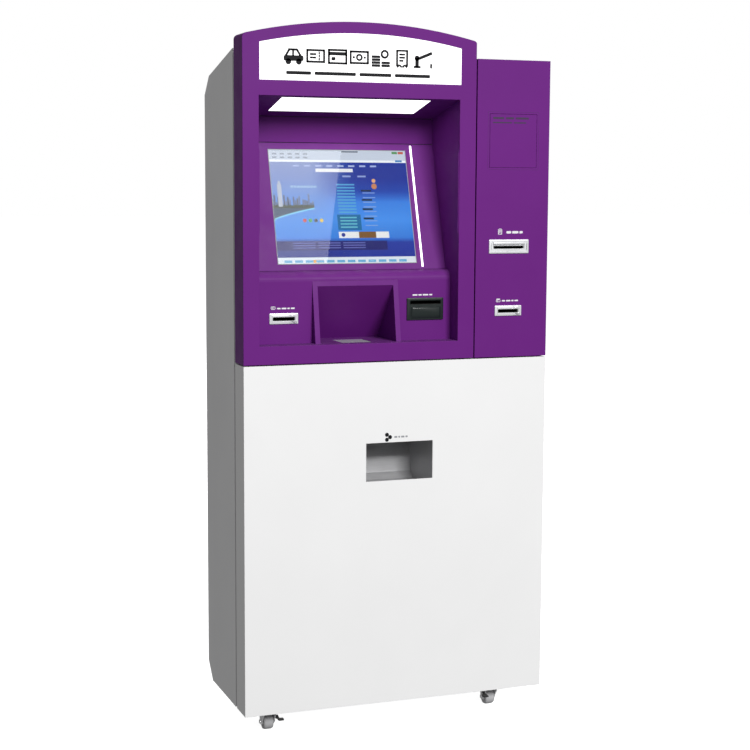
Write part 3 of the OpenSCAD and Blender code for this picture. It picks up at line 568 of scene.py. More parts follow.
def loft(bm, stations, corner=6):
    # rounded rectangles (middle x, middle y, width, height, radius, level), each drawn out of the last
    middle, size, (radius, level) = stations[0][:2], stations[0][2:4], stations[0][4:]
    made = bmesh.ops.create_grid(bm, x_segments=1, y_segments=1, size=0.5)["verts"]
    bmesh.ops.transform(bm, verts=made, matrix=Matrix.Translation((*middle, level))
                        @ Matrix.Diagonal((*size, 1, 1)))
    rounded = bmesh.ops.bevel(bm, geom=made, offset=radius, segments=corner, profile=0.5,
                              affect="VERTICES", material=-1)
    face = max({f for v in rounded["verts"] for f in v.link_faces}, key=lambda f: f.calc_area())
    edges = list(face.edges)
    bmesh.ops.delete(bm, geom=[face], context="FACES_ONLY")
    for station in stations[1:]:
        newMiddle, newSize, (newRadius, newLevel) = station[:2], station[2:4], station[4:]
        grown = bmesh.ops.extrude_edge_only(bm, edges=edges)["geom"]
        edges = [g for g in grown if isinstance(g, bmesh.types.BMEdge)]
        for vert in [g for g in grown if isinstance(g, bmesh.types.BMVert)]:
            for axis in (0, 1):
                away = vert.co[axis] - middle[axis]
                side = copysign(1, away)
                share = (away - side * (size[axis] / 2 - radius)) / radius
                vert.co[axis] = newMiddle[axis] + side * (newSize[axis] / 2 - newRadius) + share * newRadius
            vert.co.z = newLevel
        middle, size, radius = newMiddle, newSize, newRadius
    return edges


def ringPlate(bm, stations, corner=6):
    # a loft that comes back to its first outline
    start = len(bm.verts)
    loft(bm, [*stations, stations[0]], corner)
    bmesh.ops.remove_doubles(bm, verts=list(bm.verts)[start:], dist=0.001)


def cappedPlate(bm, stations, corner=6):
    # a loft closed at both ends
    start = len(bm.edges)
    loft(bm, stations, corner)
    bmesh.ops.holes_fill(bm, edges=[e for e in list(bm.edges)[start:] if e.is_boundary], sides=0)


def turned(bm, outline, steps=48):
    # a closed outline of (radius, height) points, spun about the Z axis
    ring = [bm.verts.new((radius, 0, height)) for radius, height in outline]
    edges = [bm.edges.new((a, b)) for a, b in zip(ring, ring[1:] + ring[:1])]
    bmesh.ops.spin(bm, geom=ring + edges, cent=(0, 0, 0), axis=(0, 0, 1), angle=2 * pi, steps=steps,
                   use_merge=True)


# ---- CAD nodes that keep their shape ----

rebuiltNodes = {"ticket_card_bezel", "bank_card_bezel", "receipt_bezel", "note_bezel", "panel_screws",
                "front_left_wheel", "front_right_wheel", "rear_left_wheel", "rear_right_wheel"}
plainNodes = {"touch_glass", "pocket_window", "console_panel"}
cornerBreaks = {        # millimetres; the other nodes take the fine one
    "fine": 0.3,
    "head_fascia": 0.7, "column_fascia": 0.7, "lower_door_panel": 0.7, "left_side_panel": 0.6,
    "right_side_panel": 0.6, "roof_panels": 0.5, "rear_panel": 0.4, "base_pan": 0.4,
    "front_frame": 0.35, "pocket_liner": 0.4, "bay_ceiling": 0.4,
    "bay_back": 0.4, "screen_panel": 0.5, "notice_plate": 0.25, "control_pc": 0.5,
    "power_supply": 0.5, "coin_cup": 0.4, "paper_roll": 0.6,
}
for node in sorted(frame["nodes"]):
    if node in plainNodes:
        frame["nodes"][node].material_slots[0].material = materials[slotOf[node]]
    elif node not in rebuiltNodes:
        finishCad(node, cornerBreaks.get(node, cornerBreaks["fine"]))
for node in rebuiltNodes:
    frame["nodes"][node].material_slots[0].material = materials[slotOf[node]]
print("CAD nodes finished")

# ---- printed marks ----

# each drawn in a square from 0 to 1: bar (x0, y0, x1, y1), disc (x, y, radius),
# hoop (x, y, radius, width), slant (x, y, length, width, angle)
pictograms = {
    "car": [("bar", 0.02, 0.26, 0.98, 0.5), ("bar", 0.24, 0.74, 0.7, 0.82), ("slant", 0.2, 0.63, 0.32, 0.08, 58),
            ("slant", 0.76, 0.63, 0.32, 0.08, 122), ("bar", 0.44, 0.48, 0.51, 0.78),
            ("disc", 0.24, 0.22, 0.13), ("disc", 0.76, 0.22, 0.13)],
    "ticket": [("bar", 0.04, 0.74, 0.96, 0.82), ("bar", 0.04, 0.2, 0.96, 0.28), ("bar", 0.04, 0.2, 0.12, 0.82),
               ("bar", 0.88, 0.2, 0.96, 0.82), ("bar", 0.22, 0.56, 0.52, 0.63), ("bar", 0.22, 0.4, 0.52, 0.47),
               ("bar", 0.65, 0.6, 0.7, 0.7), ("bar", 0.65, 0.46, 0.7, 0.56), ("bar", 0.65, 0.32, 0.7, 0.42)],
    "card": [("bar", 0.02, 0.78, 0.98, 0.86), ("bar", 0.02, 0.16, 0.98, 0.24), ("bar", 0.02, 0.16, 0.1, 0.86),
             ("bar", 0.9, 0.16, 0.98, 0.86), ("bar", 0.02, 0.58, 0.98, 0.72), ("bar", 0.2, 0.34, 0.38, 0.48)],
    "banknote": [("bar", 0.02, 0.74, 0.98, 0.82), ("bar", 0.02, 0.2, 0.98, 0.28), ("bar", 0.02, 0.2, 0.1, 0.82),
                 ("bar", 0.9, 0.2, 0.98, 0.82), ("hoop", 0.5, 0.51, 0.16, 0.07), ("disc", 0.22, 0.51, 0.045),
                 ("disc", 0.78, 0.51, 0.045)],
    "coins": [("bar", 0.04, 0.1, 0.46, 0.2), ("bar", 0.04, 0.24, 0.46, 0.34), ("bar", 0.04, 0.38, 0.46, 0.48),
              ("bar", 0.04, 0.52, 0.46, 0.62), ("bar", 0.54, 0.1, 0.96, 0.2), ("bar", 0.54, 0.24, 0.96, 0.34),
              ("hoop", 0.7, 0.7, 0.2, 0.08)],
    "receipt": [("bar", 0.2, 0.86, 0.8, 0.93), ("bar", 0.2, 0.16, 0.28, 0.93), ("bar", 0.72, 0.16, 0.8, 0.93),
                ("slant", 0.3, 0.16, 0.18, 0.07, 45), ("slant", 0.42, 0.16, 0.18, 0.07, 135),
                ("slant", 0.58, 0.16, 0.18, 0.07, 45), ("slant", 0.7, 0.16, 0.18, 0.07, 135),
                ("bar", 0.36, 0.68, 0.64, 0.75), ("bar", 0.36, 0.53, 0.64, 0.6), ("bar", 0.36, 0.38, 0.56, 0.45)],
    "barrier": [("bar", 0.1, 0.1, 0.26, 0.56), ("bar", 0.02, 0.1, 0.36, 0.18), ("slant", 0.55, 0.66, 0.9, 0.12, 22),
                ("disc", 0.18, 0.56, 0.12), ("bar", 0.88, 0.1, 0.96, 0.3)],
    "threeCoins": [("disc", 0.32, 0.77, 0.21), ("disc", 0.68, 0.5, 0.21), ("disc", 0.32, 0.23, 0.21)],
}
inkHeight = 0.12        # how far printed ink stands out, millimetres
boldness = 0.013        # added all round each stroke, as a share of the mark


def drawMark(bm, mark, x, y, size):
    level = (0, inkHeight)
    bold = boldness * size
    for kind, *numbers in pictograms[mark]:
        if kind == "bar":
            x0, y0, x1, y1 = (n * size for n in numbers)
            bar(bm, (x + x0 - bold, x + x1 + bold), (y + y0 - bold, y + y1 + bold), level,
                0.35 * min(x1 - x0, y1 - y0))
        elif kind == "disc":
            disc(bm, x + numbers[0] * size, y + numbers[1] * size, level, numbers[2] * size + bold, 32)
        elif kind == "hoop":
            hoop(bm, x + numbers[0] * size, y + numbers[1] * size, level, numbers[2] * size + bold,
                 numbers[3] * size + 2 * bold)
        else:
            slantBar(bm, x + numbers[0] * size, y + numbers[1] * size, level, numbers[2] * size,
                     numbers[3] * size + 2 * bold, numbers[4])


def drawWords(bm, x, y, height, widths, gap):
    # plain bars where words would stand
    for width in widths:
        bar(bm, (x, x + width), (y, y + height), (0, inkHeight), 0.3 * min(height, width))
        x += width + gap


# ---- sign ----

signPrint = {"marks": ["car", "ticket", "card", "banknote", "coins", "receipt", "barrier"],
             "size": 50, "pitch": 55, "rise": 41, "shift": -9,
             "words": [62, 104, 82, 92], "wordHeight": 8, "wordGap": 9, "wordRise": 22}
signPlace = faceOf("sign_panel", "front")
signMiddle = sizeOf("sign_panel", "front")[0] / 2


def makeSign(look):
    bm = bmesh.new()
    width = look["pitch"] * (len(look["marks"]) - 1) + look["size"]
    for index, mark in enumerate(look["marks"]):
        drawMark(bm, mark, signMiddle + look["shift"] - width / 2 + index * look["pitch"], look["rise"], look["size"])
    finishPiece("sign_marks", bm, "head_door", "screen_black", extraMaterials["blackInk"], signPlace)
    bm = bmesh.new()
    length = sum(look["words"]) + look["wordGap"] * (len(look["words"]) - 1)
    drawWords(bm, signMiddle + look["shift"] - length / 2, look["wordRise"], look["wordHeight"], look["words"],
              look["wordGap"])
    finishPiece("sign_word_bars", bm, "head_door", "screen_black", extraMaterials["blackInk"], signPlace)


makeSign(signPrint)
print("sign printed")


# ---- screen ----

def linear(channels):
    return tuple(c / 12.92 if c <= 0.04045 else ((c + 0.055) / 1.055) ** 2.4
                 for c in (n / 255 for n in channels))


# colours as a designer would pick them, 0 to 255; places from the picture's upper left, 0 to 1
screenPicture = {
    # sky stops: height, left colour, right colour; the pale grey-blue left colours near the top are painted glare,
    # not sky
    "sky": [(0.0, (140, 152, 196), (0, 40, 150)), (0.25, (118, 140, 200), (0, 40, 150)),
            (0.36, (104, 140, 208), (8, 60, 170)), (0.46, (84, 136, 214), (50, 126, 224)),
            (0.62, (62, 140, 228), (62, 142, 235)), (0.78, (40, 128, 222), (40, 118, 215)),
            (0.81, (4, 36, 140), (6, 44, 158)), (1.0, (2, 30, 130), (2, 36, 148))],
    "skyline": (94, 108, 146), "tower": (176, 184, 200), "trees": (44, 58, 34), "water": (40, 66, 96),
    "wave": (120, 200, 235),
    "blocks": [
        (0, 0, 1, 0.108, (200, 209, 224)), (0, 0.088, 1, 0.108, (242, 246, 249)),
        (0.53, 0.008, 0.65, 0.02, (96, 106, 122)), (0.945, 0.01, 0.985, 0.03, (196, 92, 70)),
        (0.9, 0.01, 0.94, 0.03, (88, 148, 92)), (0.92, 0.085, 0.97, 0.102, (60, 130, 190)),
        (0.33, 0.165, 0.6, 0.195, (240, 240, 240)),
        (0.455, 0.57, 0.625, 0.705, (14, 104, 160)), (0.455, 0.72, 0.82, 0.775, (236, 236, 234)),
        (0.6, 0.72, 0.725, 0.775, (122, 82, 30)), (0, 0.8, 0.8, 0.88, (8, 12, 104)),
        (0, 0.94, 1, 1, (222, 230, 238)), (0.25, 0.962, 0.33, 0.988, (238, 168, 72)),
    ],
    # first x, first y, bar width, bar height, columns, rows, column step, row step, colour
    "rows": [
        (0.17, 0.134, 0.045, 0.014, 8, 1, 0.08, 0, (170, 186, 224)),
        (0.03, 0.03, 0.03, 0.014, 5, 2, 0.055, 0.032, (150, 160, 178)),
        (0.47, 0.3, 0.13, 0.011, 1, 10, 0, 0.027, (84, 170, 214)),
        (0.475, 0.59, 0.12, 0.011, 1, 4, 0, 0.028, (96, 190, 206)),
        (0.645, 0.35, 0.075, 0.016, 1, 4, 0, 0.082, (12, 34, 56)),
        (0.655, 0.375, 0.09, 0.007, 1, 8, 0, 0.041, (130, 166, 222)),
        (0.52, 0.225, 0.06, 0.014, 2, 1, 0.11, 0, (150, 170, 214)),
        (0.12, 0.812, 0.16, 0.009, 3, 3, 0.18, 0.021, (92, 98, 176)),
        (0.05, 0.964, 0.055, 0.022, 12, 1, 0.075, 0, (104, 172, 214)),
        (0.14, 0.315, 0.018, 0.02, 8, 1, 0.024, 0, (150, 186, 220)),
    ],
    "dots": [(0.22, 0.62, 0.013, (206, 60, 50)), (0.26, 0.62, 0.013, (60, 160, 70)),
             (0.3, 0.62, 0.013, (60, 64, 74)), (0.34, 0.62, 0.013, (222, 190, 40)),
             (0.487, 0.747, 0.014, (30, 50, 150)), (0.745, 0.27, 0.014, (232, 176, 120)),
             (0.745, 0.32, 0.02, (200, 130, 80))],
    "gap": 0.4,         # between the glass and the picture, millimetres
}


def screenPlace(depth):
    # the glass's own frame, so many millimetres behind its front
    axes = Matrix((screenRight, screenUp, screenOut)).transposed().to_4x4()
    return Matrix.Translation(screenCorner - screenOut * depth * mm) @ axes


def makeScreenPicture(look):
    bm = bmesh.new()
    ink = bm.verts.layers.float_color.new("ink")
    width, height = screenWidth / mm, screenHeight / mm

    def paint(verts, colour):
        for vert in verts:
            vert[ink] = (*linear(colour), 1)

    def block(x0, y0, x1, y1, colour, layer):
        paint(bar(bm, (x0 * width, x1 * width), ((1 - y1) * height, (1 - y0) * height),
                  (0, 0.02 * layer)), colour)

    def skyWithPaintedGlareAt(x, y):
        # left and right colours at this height, mixed by how far across the place is; the left colours wash pale
        # towards the top, a painted glare reflection laid over the sky
        stops = look["sky"]
        upper = max(i for i, stop in enumerate(stops) if stop[0] <= y + 1e-6)
        lower = min(upper + 1, len(stops) - 1)
        span = stops[lower][0] - stops[upper][0] or 1
        share = (y - stops[upper][0]) / span
        across = min(max((x - 0.3) / 0.3, 0), 1)
        return [sum(w * stops[s][side][c] for w, s, side in (
            ((1 - share) * (1 - across), upper, 1), ((1 - share) * across, upper, 2),
            (share * (1 - across), lower, 1), (share * across, lower, 2))) for c in range(3)]

    sheet = bmesh.ops.create_grid(bm, x_segments=24, y_segments=48, size=0.5)["verts"]
    bmesh.ops.transform(bm, verts=sheet, matrix=Matrix.Translation((width / 2, height / 2, 0))
                        @ Matrix.Diagonal((width, height, 1, 1)))
    for vert in sheet:
        vert[ink] = (*linear(skyWithPaintedGlareAt(vert.co.x / width, 1 - vert.co.y / height)), 1)
    # a shore of towers above a bay, its edge rising to the right
    for step in range(22):
        x = 0.0135 * step
        top = 0.44 - 0.035 * sin(step * 2.4) - 0.02 * sin(step * 1.1)
        shade = 0.85 + 0.2 * sin(step * 3.7)
        block(x, top, x + 0.0115, 0.5, [c * shade for c in look["skyline"]], 1)
        block(x, 0.485 + 0.004 * sin(step * 2), x + 0.0137, 0.512, look["trees"], 2)
        shore = 0.615 - 0.105 * (step / 22) ** 0.7
        block(x, 0.51, x + 0.0137, shore, look["water"], 1)
        block(x, shore - 0.004, x + 0.0139, shore + 0.009, look["wave"], 3)
    block(0.045, 0.3, 0.075, 0.5, look["tower"], 3)
    block(0.053, 0.275, 0.067, 0.3, look["tower"], 3)
    for layer, (x0, y0, x1, y1, colour) in enumerate(look["blocks"]):
        block(x0, y0, x1, y1, colour, 4 + layer)
    for x, y, barWidth, barHeight, columns, rows, stepX, stepY, colour in look["rows"]:
        for column in range(columns):
            for row in range(rows):
                left, upper = x + column * stepX, y + row * stepY
                block(left, upper, left + barWidth, upper + barHeight, colour, 18)
    for x, y, radius, colour in look["dots"]:
        paint(disc(bm, x * width, (1 - y) * height, (0, 0.38), radius * width), colour)
    # the sheet's back, so that the picture is a closed board
    board = bmesh.ops.extrude_face_region(bm, geom=list({f for v in sheet for f in v.link_faces}))["geom"]
    backs = [g for g in board if isinstance(g, bmesh.types.BMVert)]
    bmesh.ops.translate(bm, vec=(0, 0, -0.05), verts=backs)
    paint(backs, (8, 8, 10))
    finishPiece("screen_picture", bm, "head_door", "screen_black", extraMaterials["display"],
                screenPlace(2.8 + look["gap"]))


makeScreenPicture(screenPicture)
print("screen picture made")


gasket = {"width": 1.5, "proud": 0.55}


def makeGasket(look):
    # a thin pale edge round the glass, below the panel's face
    width, height = screenWidth / mm, screenHeight / mm
    inner = (width - 2 * look["width"], height - 2 * look["width"])
    bm = bmesh.new()
    ringPlate(bm, [(width / 2, height / 2, width, height, 0.8, 0.02),
                   (width / 2, height / 2, width, height, 0.8, look["proud"]),
                   (width / 2, height / 2, *inner, 0.5, look["proud"]),
                   (width / 2, height / 2, *inner, 0.5, 0.02)], 2)
    finishPiece("screen_gasket", bm, "head_door", "black_plastic", extraMaterials["greyInk"], screenPlace(0))


makeGasket(gasket)


# ---- bezels ----

cardBezel = {
    "radius": 1.2, "plate": 3.0, "back": 4.0, "slot": (37, 12, 56, 9), "lead": 1.6, "proud": 5.0,
    "cheek": (51, 69), "cheekTaper": 5.0, "groove": (6.2, 0.9, 21), "paintedFacetShade": (61, 7.5, 9, 2.2, 28),
    "mark": (4, 33, 12), "words": (20, 36, 3.6, (9, 12, 6, 10), 2.6),
}


def makeCardBezel(node, look, mark):
    width, height = sizeOf(node, "front")
    middleX, middleY, slotWide, slotTall = look["slot"]
    face = look["plate"] - look["proud"]            # the plate's front, below the box's own front
    back = -look["back"] - look["proud"]
    outer = (width / 2, height / 2)
    lead = look["lead"]
    bm = bmesh.new()
    ringPlate(bm, [
        (*outer, width, height, look["radius"], back),
        (*outer, width, height, look["radius"], face - 0.7),
        (*outer, width - 0.5, height - 0.5, look["radius"], face - 0.2),
        (*outer, width - 1.4, height - 1.4, look["radius"], face),
        (middleX, middleY, slotWide + 2 * lead, slotTall + 2 * lead, 3.4, face),
        (middleX, middleY, slotWide + lead, slotTall + lead, 3.0, face - 0.5),
        (middleX, middleY, slotWide, slotTall, 2.6, face - lead),
        (middleX, middleY, slotWide, slotTall, 2.6, back)])
    left, right = look["cheek"]
    for low, high in ((1.2, middleY - slotTall / 2 - 0.6), (middleY + slotTall / 2 + 0.6, height - 1.2)):
        start = len(bm.verts)
        middle = ((left + right) / 2, (low + high) / 2)
        cappedPlate(bm, [(*middle, right - left, high - low, 0.6, face - 0.3),
                         (*middle, right - left, high - low, 0.6, face + 0.3),
                         (middle[0] + 1.5, middle[1], right - left - look["cheekTaper"], high - low - 1.6,
                          0.5, 0)], 3)
    finishPiece(node + "_face", bm, bodyOf[node], "silver_bezel", place=faceOf(node, "front"),
                replaces=(node,), sharp=28)
    ink = bmesh.new()
    x, groove, tall = look["groove"]
    bar(ink, (x, x + groove), ((height - tall) / 2, (height + tall) / 2), (face - 0.1, face + 0.08))
    # two grey slant bars at the slot's right end: painted shade on the cheeks' facets
    x, rise, length, thick, angle = look["paintedFacetShade"]
    for side in (1, -1):
        slantBar(ink, x, middleY + side * rise, (-0.6, -0.05), length, thick, side * angle)
    finishPiece(node + "_groove_and_facet_shade", ink, bodyOf[node], "black_plastic", extraMaterials["greyInk"],
                faceOf(node, "front"))
    ink = bmesh.new()
    drawMark(ink, mark, *look["mark"])
    x, y, tall, widths, gap = look["words"]
    drawWords(ink, x, y, tall, widths, gap)
    finishPiece(node + "_marks", ink, bodyOf[node], "silver_bezel", extraMaterials["whiteInk"],
                faceOf(node, "front", look["proud"]))


makeCardBezel("ticket_card_bezel", cardBezel, "ticket")
makeCardBezel("bank_card_bezel", cardBezel, "card")

receiptBezel = {
    "radius": 1.6, "plate": 3.0, "back": 4.0, "proud": 6.0, "slot": (54.5, 16, 83, 8), "lead": 1.8,
    "hood": (54.5, 26.2, 88, 8), "step": (54.5, 17.5, 97, 26, 0.8), "lines": ((5, 103), 0.9, 16),
    "mark": (22, 46, 17), "words": (48, 50, 6, (13, 17, 9), 3),
}


def makeReceiptBezel(node, look):
    width, height = sizeOf(node, "front")
    middleX, middleY, slotWide, slotTall = look["slot"]
    face, back = look["plate"] - look["proud"], -look["back"] - look["proud"]
    outer = (width / 2, height / 2)
    *step, drop = look["step"]
    lead = look["lead"]
    bm = bmesh.new()
    ringPlate(bm, [
        (*outer, width, height, look["radius"], back),
        (*outer, width, height, look["radius"], face - 1),
        (*outer, width - 0.8, height - 0.8, look["radius"], face - 0.3),
        (*outer, width - 2, height - 2, look["radius"], face),
        (*step, 1.4, face),
        (step[0], step[1], step[2] - 1, step[3] - 1, 1.2, face - drop),
        (middleX, middleY, slotWide + 2 * lead, slotTall + 2 * lead, 3.0, face - drop),
        (middleX, middleY, slotWide, slotTall, 2.4, face - drop - lead),
        (middleX, middleY, slotWide, slotTall, 2.4, back)])
    hoodX, hoodY, hoodWide, hoodTall = look["hood"]
    cappedPlate(bm, [(hoodX, hoodY, hoodWide, hoodTall, 1.2, face - drop - 0.2),
                     (hoodX, hoodY, hoodWide, hoodTall, 1.2, face + 0.6),
                     (hoodX, hoodY - 0.4, hoodWide - 2, hoodTall - 2.4, 1.0, face + 2.4),
                     (hoodX, hoodY - 0.6, hoodWide - 4, hoodTall - 4.4, 0.8, 0)], 4)
    # the tear edge's teeth, under the hood
    for step in range(27):
        slantBar(bm, middleX - 39 + step * 3, middleY + slotTall / 2 - 0.2, (back + 3, face - 1.6), 1.6, 1.6, 45)
    finishPiece(node + "_face", bm, bodyOf[node], "silver_bezel", place=faceOf(node, "front"),
                replaces=(node,), sharp=28)
    ink = bmesh.new()
    places, lineWide, tall = look["lines"]
    for x in places:
        bar(ink, (x, x + lineWide), (height / 2 - tall / 2, height / 2 + tall / 2), (face - 0.5, face + 0.1))
    finishPiece(node + "_lines", ink, bodyOf[node], "black_plastic", place=faceOf(node, "front"))
    ink = bmesh.new()
    drawMark(ink, "receipt", *look["mark"])
    x, y, tall, widths, gap = look["words"]
    drawWords(ink, x, y, tall, widths, gap)
    finishPiece(node + "_marks", ink, bodyOf[node], "silver_bezel", extraMaterials["whiteInk"],
                faceOf(node, "front", look["proud"]))


makeReceiptBezel("receipt_bezel", receiptBezel)

noteBezel = {
    "radius": 1.8, "plate": 4.0, "back": 4.0, "proud": 9.0, "slot": (50, 43.5, 82, 9), "lead": 1.6,
    "tongue": (50, 19, 80, 30), "ridges": 9, "words": (16, 61, 3.6, (13, 9, 15, 8), 2.6),
}


def makeNoteBezel(node, look):
    width, height = sizeOf(node, "front")
    middleX, middleY, slotWide, slotTall = look["slot"]
    face, back = look["plate"] - look["proud"], -look["back"] - look["proud"]
    outer = (width / 2, height / 2)
    lead = look["lead"]
    bm = bmesh.new()
    ringPlate(bm, [
        (*outer, width, height, look["radius"], back),
        (*outer, width, height, look["radius"], face - 1.2),
        (*outer, width - 0.9, height - 0.9, look["radius"], face - 0.3),
        (*outer, width - 2.4, height - 2.4, look["radius"], face),
        (middleX, middleY, slotWide + 2 * lead, slotTall + 2 * lead, 3.0, face),
        (middleX, middleY, slotWide, slotTall, 2.2, face - lead),
        (middleX, middleY, slotWide, slotTall, 2.2, back)])
    x, y, wide, tall = look["tongue"]
    cappedPlate(bm, [(x, y, wide, tall, 3, face - 0.3), (x, y, wide, tall, 3, face + 0.6),
                     (x, y + 1.5, wide - 4, tall - 6, 3, face + 3),
                     (x, y + 3, wide - 9, tall - 13, 2.6, -0.6)], 5)
    finishPiece(node + "_face", bm, bodyOf[node], "note_plastic", place=faceOf(node, "front"),
                replaces=(node,), sharp=28)
    ridges = bmesh.new()
    for step in range(look["ridges"]):
        slantBar(ridges, x - 26 + step * 6.5, y + 9, (face + 1, -0.4), 9, 0.8, -48)
    finishPiece(node + "_ridges", ridges, bodyOf[node], "note_plastic", place=faceOf(node, "front"))
    ink = bmesh.new()
    x, y, tall, widths, gap = look["words"]
    drawWords(ink, x, y, tall, widths, gap)
    finishPiece(node + "_marks", ink, bodyOf[node], "note_plastic", extraMaterials["whiteInk"],
                faceOf(node, "front", look["proud"]))


makeNoteBezel("note_bezel", noteBezel)
print("bezels made")


# ---- printed marks on the doors ----

doorPrint = {
    # on the column: a notice's outline and bars
    "notice": {"inset": 3, "line": 0.8, "words": [(16, 128, 5, (30, 22, 36)), (16, 118, 3, (52, 34))]},
    # over the coin cup
    "coins": {"x": 360, "y": 667, "size": 23, "words": (387, 676, 4.5, (8, 5, 9, 6), 2.5)},
}


def makeDoorPrint(look):
    notice = look["notice"]
    width, height = sizeOf("notice_plate", "front")
    bm = bmesh.new()
    inset, line = notice["inset"], notice["line"]
    ringPlate(bm, [(width / 2, height / 2, width - 2 * inset, height - 2 * inset, 2, 0),
                   (width / 2, height / 2, width - 2 * inset, height - 2 * inset, 2, inkHeight),
                   (width / 2, height / 2, width - 2 * inset - line, height - 2 * inset - line, 1.6,
                    inkHeight),
                   (width / 2, height / 2, width - 2 * inset - line, height - 2 * inset - line, 1.6, 0)], 3)
    for x, y, tall, widths in notice["words"]:
        drawWords(bm, x, y, tall, widths, 5)
    finishPiece("notice_marks", bm, bodyOf["notice_plate"], slotOf["notice_plate"],
                extraMaterials["violetInk"], faceOf("notice_plate", "front"))
    coins = look["coins"]
    place = faceOf("lower_door_panel", "front")
    bm = bmesh.new()
    drawMark(bm, "threeCoins", coins["x"], coins["y"], coins["size"])
    finishPiece("coin_mark", bm, "lower_door", "white_paint", extraMaterials["blackInk"], place)
    bm = bmesh.new()
    x, y, tall, widths, gap = coins["words"]
    drawWords(bm, x, y, tall, widths, gap)
    finishPiece("coin_word_bars", bm, "lower_door", "white_paint", extraMaterials["greyInk"], place)


makeDoorPrint(doorPrint)
print("door marks printed")


# ---- castors ----

castorLook = {"hubRadius": 9.5, "tread": 17.5, "crown": 20.0, "nut": 4.2, "nutHeight": 2.2}


def makeWheel(node, look):
    width, height = sizeOf(node, "right")
    half = sizeOf(node, "front")[0] / 2
    radius = height / 2
    place = faceOf(node, "right") @ Matrix.Translation((radius * mm, radius * mm, -half * mm))
    tyre = bmesh.new()
    turned(tyre, [(look["hubRadius"], -half + 1.5), (look["tread"] - 2, -half + 0.3),
                  (look["tread"] + 0.5, -half + 1.2), (radius - 0.5, -half + 4), (radius, -half + 7),
                  (radius, half - 7), (radius - 0.5, half - 4), (look["tread"] + 0.5, half - 1.2),
                  (look["tread"] - 2, half - 0.3), (look["hubRadius"], half - 1.5)], 64)
    finishPiece(node + "_tyre", tyre, bodyOf[node], "wheel_rubber", place=place, replaces=(node,), sharp=50)
    hub = bmesh.new()
    inner = look["hubRadius"] + 0.02
    turned(hub, [(3.4, -half + 0.4), (5.2, -half + 0.4), (6, -half + 2.4), (inner - 1.2, -half + 2.4),
                 (inner - 0.4, -half + 1.2), (inner, -half + 1.6), (inner, half - 1.6),
                 (inner - 0.4, half - 1.2), (inner - 1.2, half - 2.4), (6, half - 2.4), (5.2, half - 0.4),
                 (3.4, half - 0.4)], 48)
    finishPiece(node + "_hub", hub, bodyOf[node], "wheel_rubber", materials["grey_paint"], place,
                replaces=(node,), sharp=35)


for node in ("front_left_wheel", "front_right_wheel", "rear_left_wheel", "rear_right_wheel"):
    makeWheel(node, castorLook)
print("wheels made")


# ---- rear: screws, louvre blades and fan guard ----

screwLook = {"places": [(x, z) for x in (14, 400, 786) for z in (80, 560, 1040, 1505)],
             "radius": 3.98, "length": 12, "dish": 0.9}


def makeScrews(look):
    rear = faceOf("rear_panel", "rear")
    low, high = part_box("panel_screws")
    heads = bmesh.new()
    slots = bmesh.new()
    radius = look["radius"]
    for x, z in look["places"]:
        place = Matrix.Translation(((400 - x) * 1.0, z + 55, 0))
        start = len(heads.verts)
        turned(heads, [(0.01, -look["dish"]), (2.2, -look["dish"]), (2.7, -0.05), (radius - 0.4, -0.05),
                       (radius, -0.4), (radius, -1.8), (2.1, -3.4), (2.1, -look["length"] + 0.1),
                       (0.01, -look["length"] + 0.1)], 32)
        made = list(heads.verts)[start:]
        bmesh.ops.transform(heads, matrix=place, verts=made)
        # black bars on the dish: painted shade standing in for the cross recess
        for angle in (40, 130):
            slantBar(slots, 400 - x, z + 55, (-look["dish"] - 0.2, -look["dish"] + 0.08), 4.0, 0.8, angle)
    origin = Vector((0, high.y, 0))
    frameRear = Matrix.Translation(origin) @ rear.to_3x3().to_4x4()
    finishPiece("panel_screw_heads", heads, "cabinet", "zinc_steel", place=frameRear,
                replaces=("panel_screws",), sharp=30)
    finishPiece("panel_screw_crosses_painted_shade", slots, "cabinet", "zinc_steel", extraMaterials["blackInk"], frameRear)


makeScrews(screwLook)

louvres = {"fields": [((110, 350), 190, 16, 8), ((450, 690), 190, 16, 8), ((545, 655), 1335, 14, 8)],
           "slot": 6, "blade": 9.5, "thick": 0.8, "tilt": -35, "sink": 6.2}


def makeLouvres(look):
    bm = bmesh.new()
    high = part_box("rear_panel")[1]
    for (left, right), first, pitch, rows in look["fields"]:
        for row in range(rows):
            start = len(bm.verts)
            made = bar(bm, (left - 402, right - 398), (-look["blade"] / 2, look["blade"] / 2),
                       (-look["thick"] / 2, look["thick"] / 2))
            lift = Matrix.Translation((0, high.y / mm - look["sink"], first + row * pitch + look["slot"] / 2 + 55))
            bmesh.ops.transform(bm, matrix=lift @ Matrix.Rotation(radians(look["tilt"]), 4, "X"), verts=made)
    finishPiece("louvre_blades", bm, "cabinet", "grey_paint", place=Matrix.Identity(4))


makeLouvres(louvres)

fanGuard = {"radii": (14, 25, 36, 47), "wire": 1.3, "spokes": 4, "depth": (1.2, 2.5)}


def makeFanGuard(look):
    width, height = sizeOf("fan_frame", "front")
    bm = bmesh.new()
    level = tuple(look["depth"])
    for radius in look["radii"]:
        hoop(bm, width / 2, height / 2, level, radius, look["wire"], 48)
    for spoke in range(look["spokes"]):
        slantBar(bm, width / 2, height / 2, (level[0] - 1.1, level[0] + 0.1), 122, look["wire"],
                 45 + spoke * 180 / look["spokes"])
    finishPiece("fan_guard", bm, "cabinet", "bright_steel", place=faceOf("fan_frame", "front"), sharp=50)


makeFanGuard(fanGuard)
print("rear made")


# ---- door seals and the lamps behind the sign ----

seals = {"thick": 4.6, "width": 7,
         # low and high x, low and high z, in the cabinet's millimetres
         "runs": [((23, 594), (882, 1598)), ((600, 777), (882, 1570)), ((23, 790), (12, 863))]}


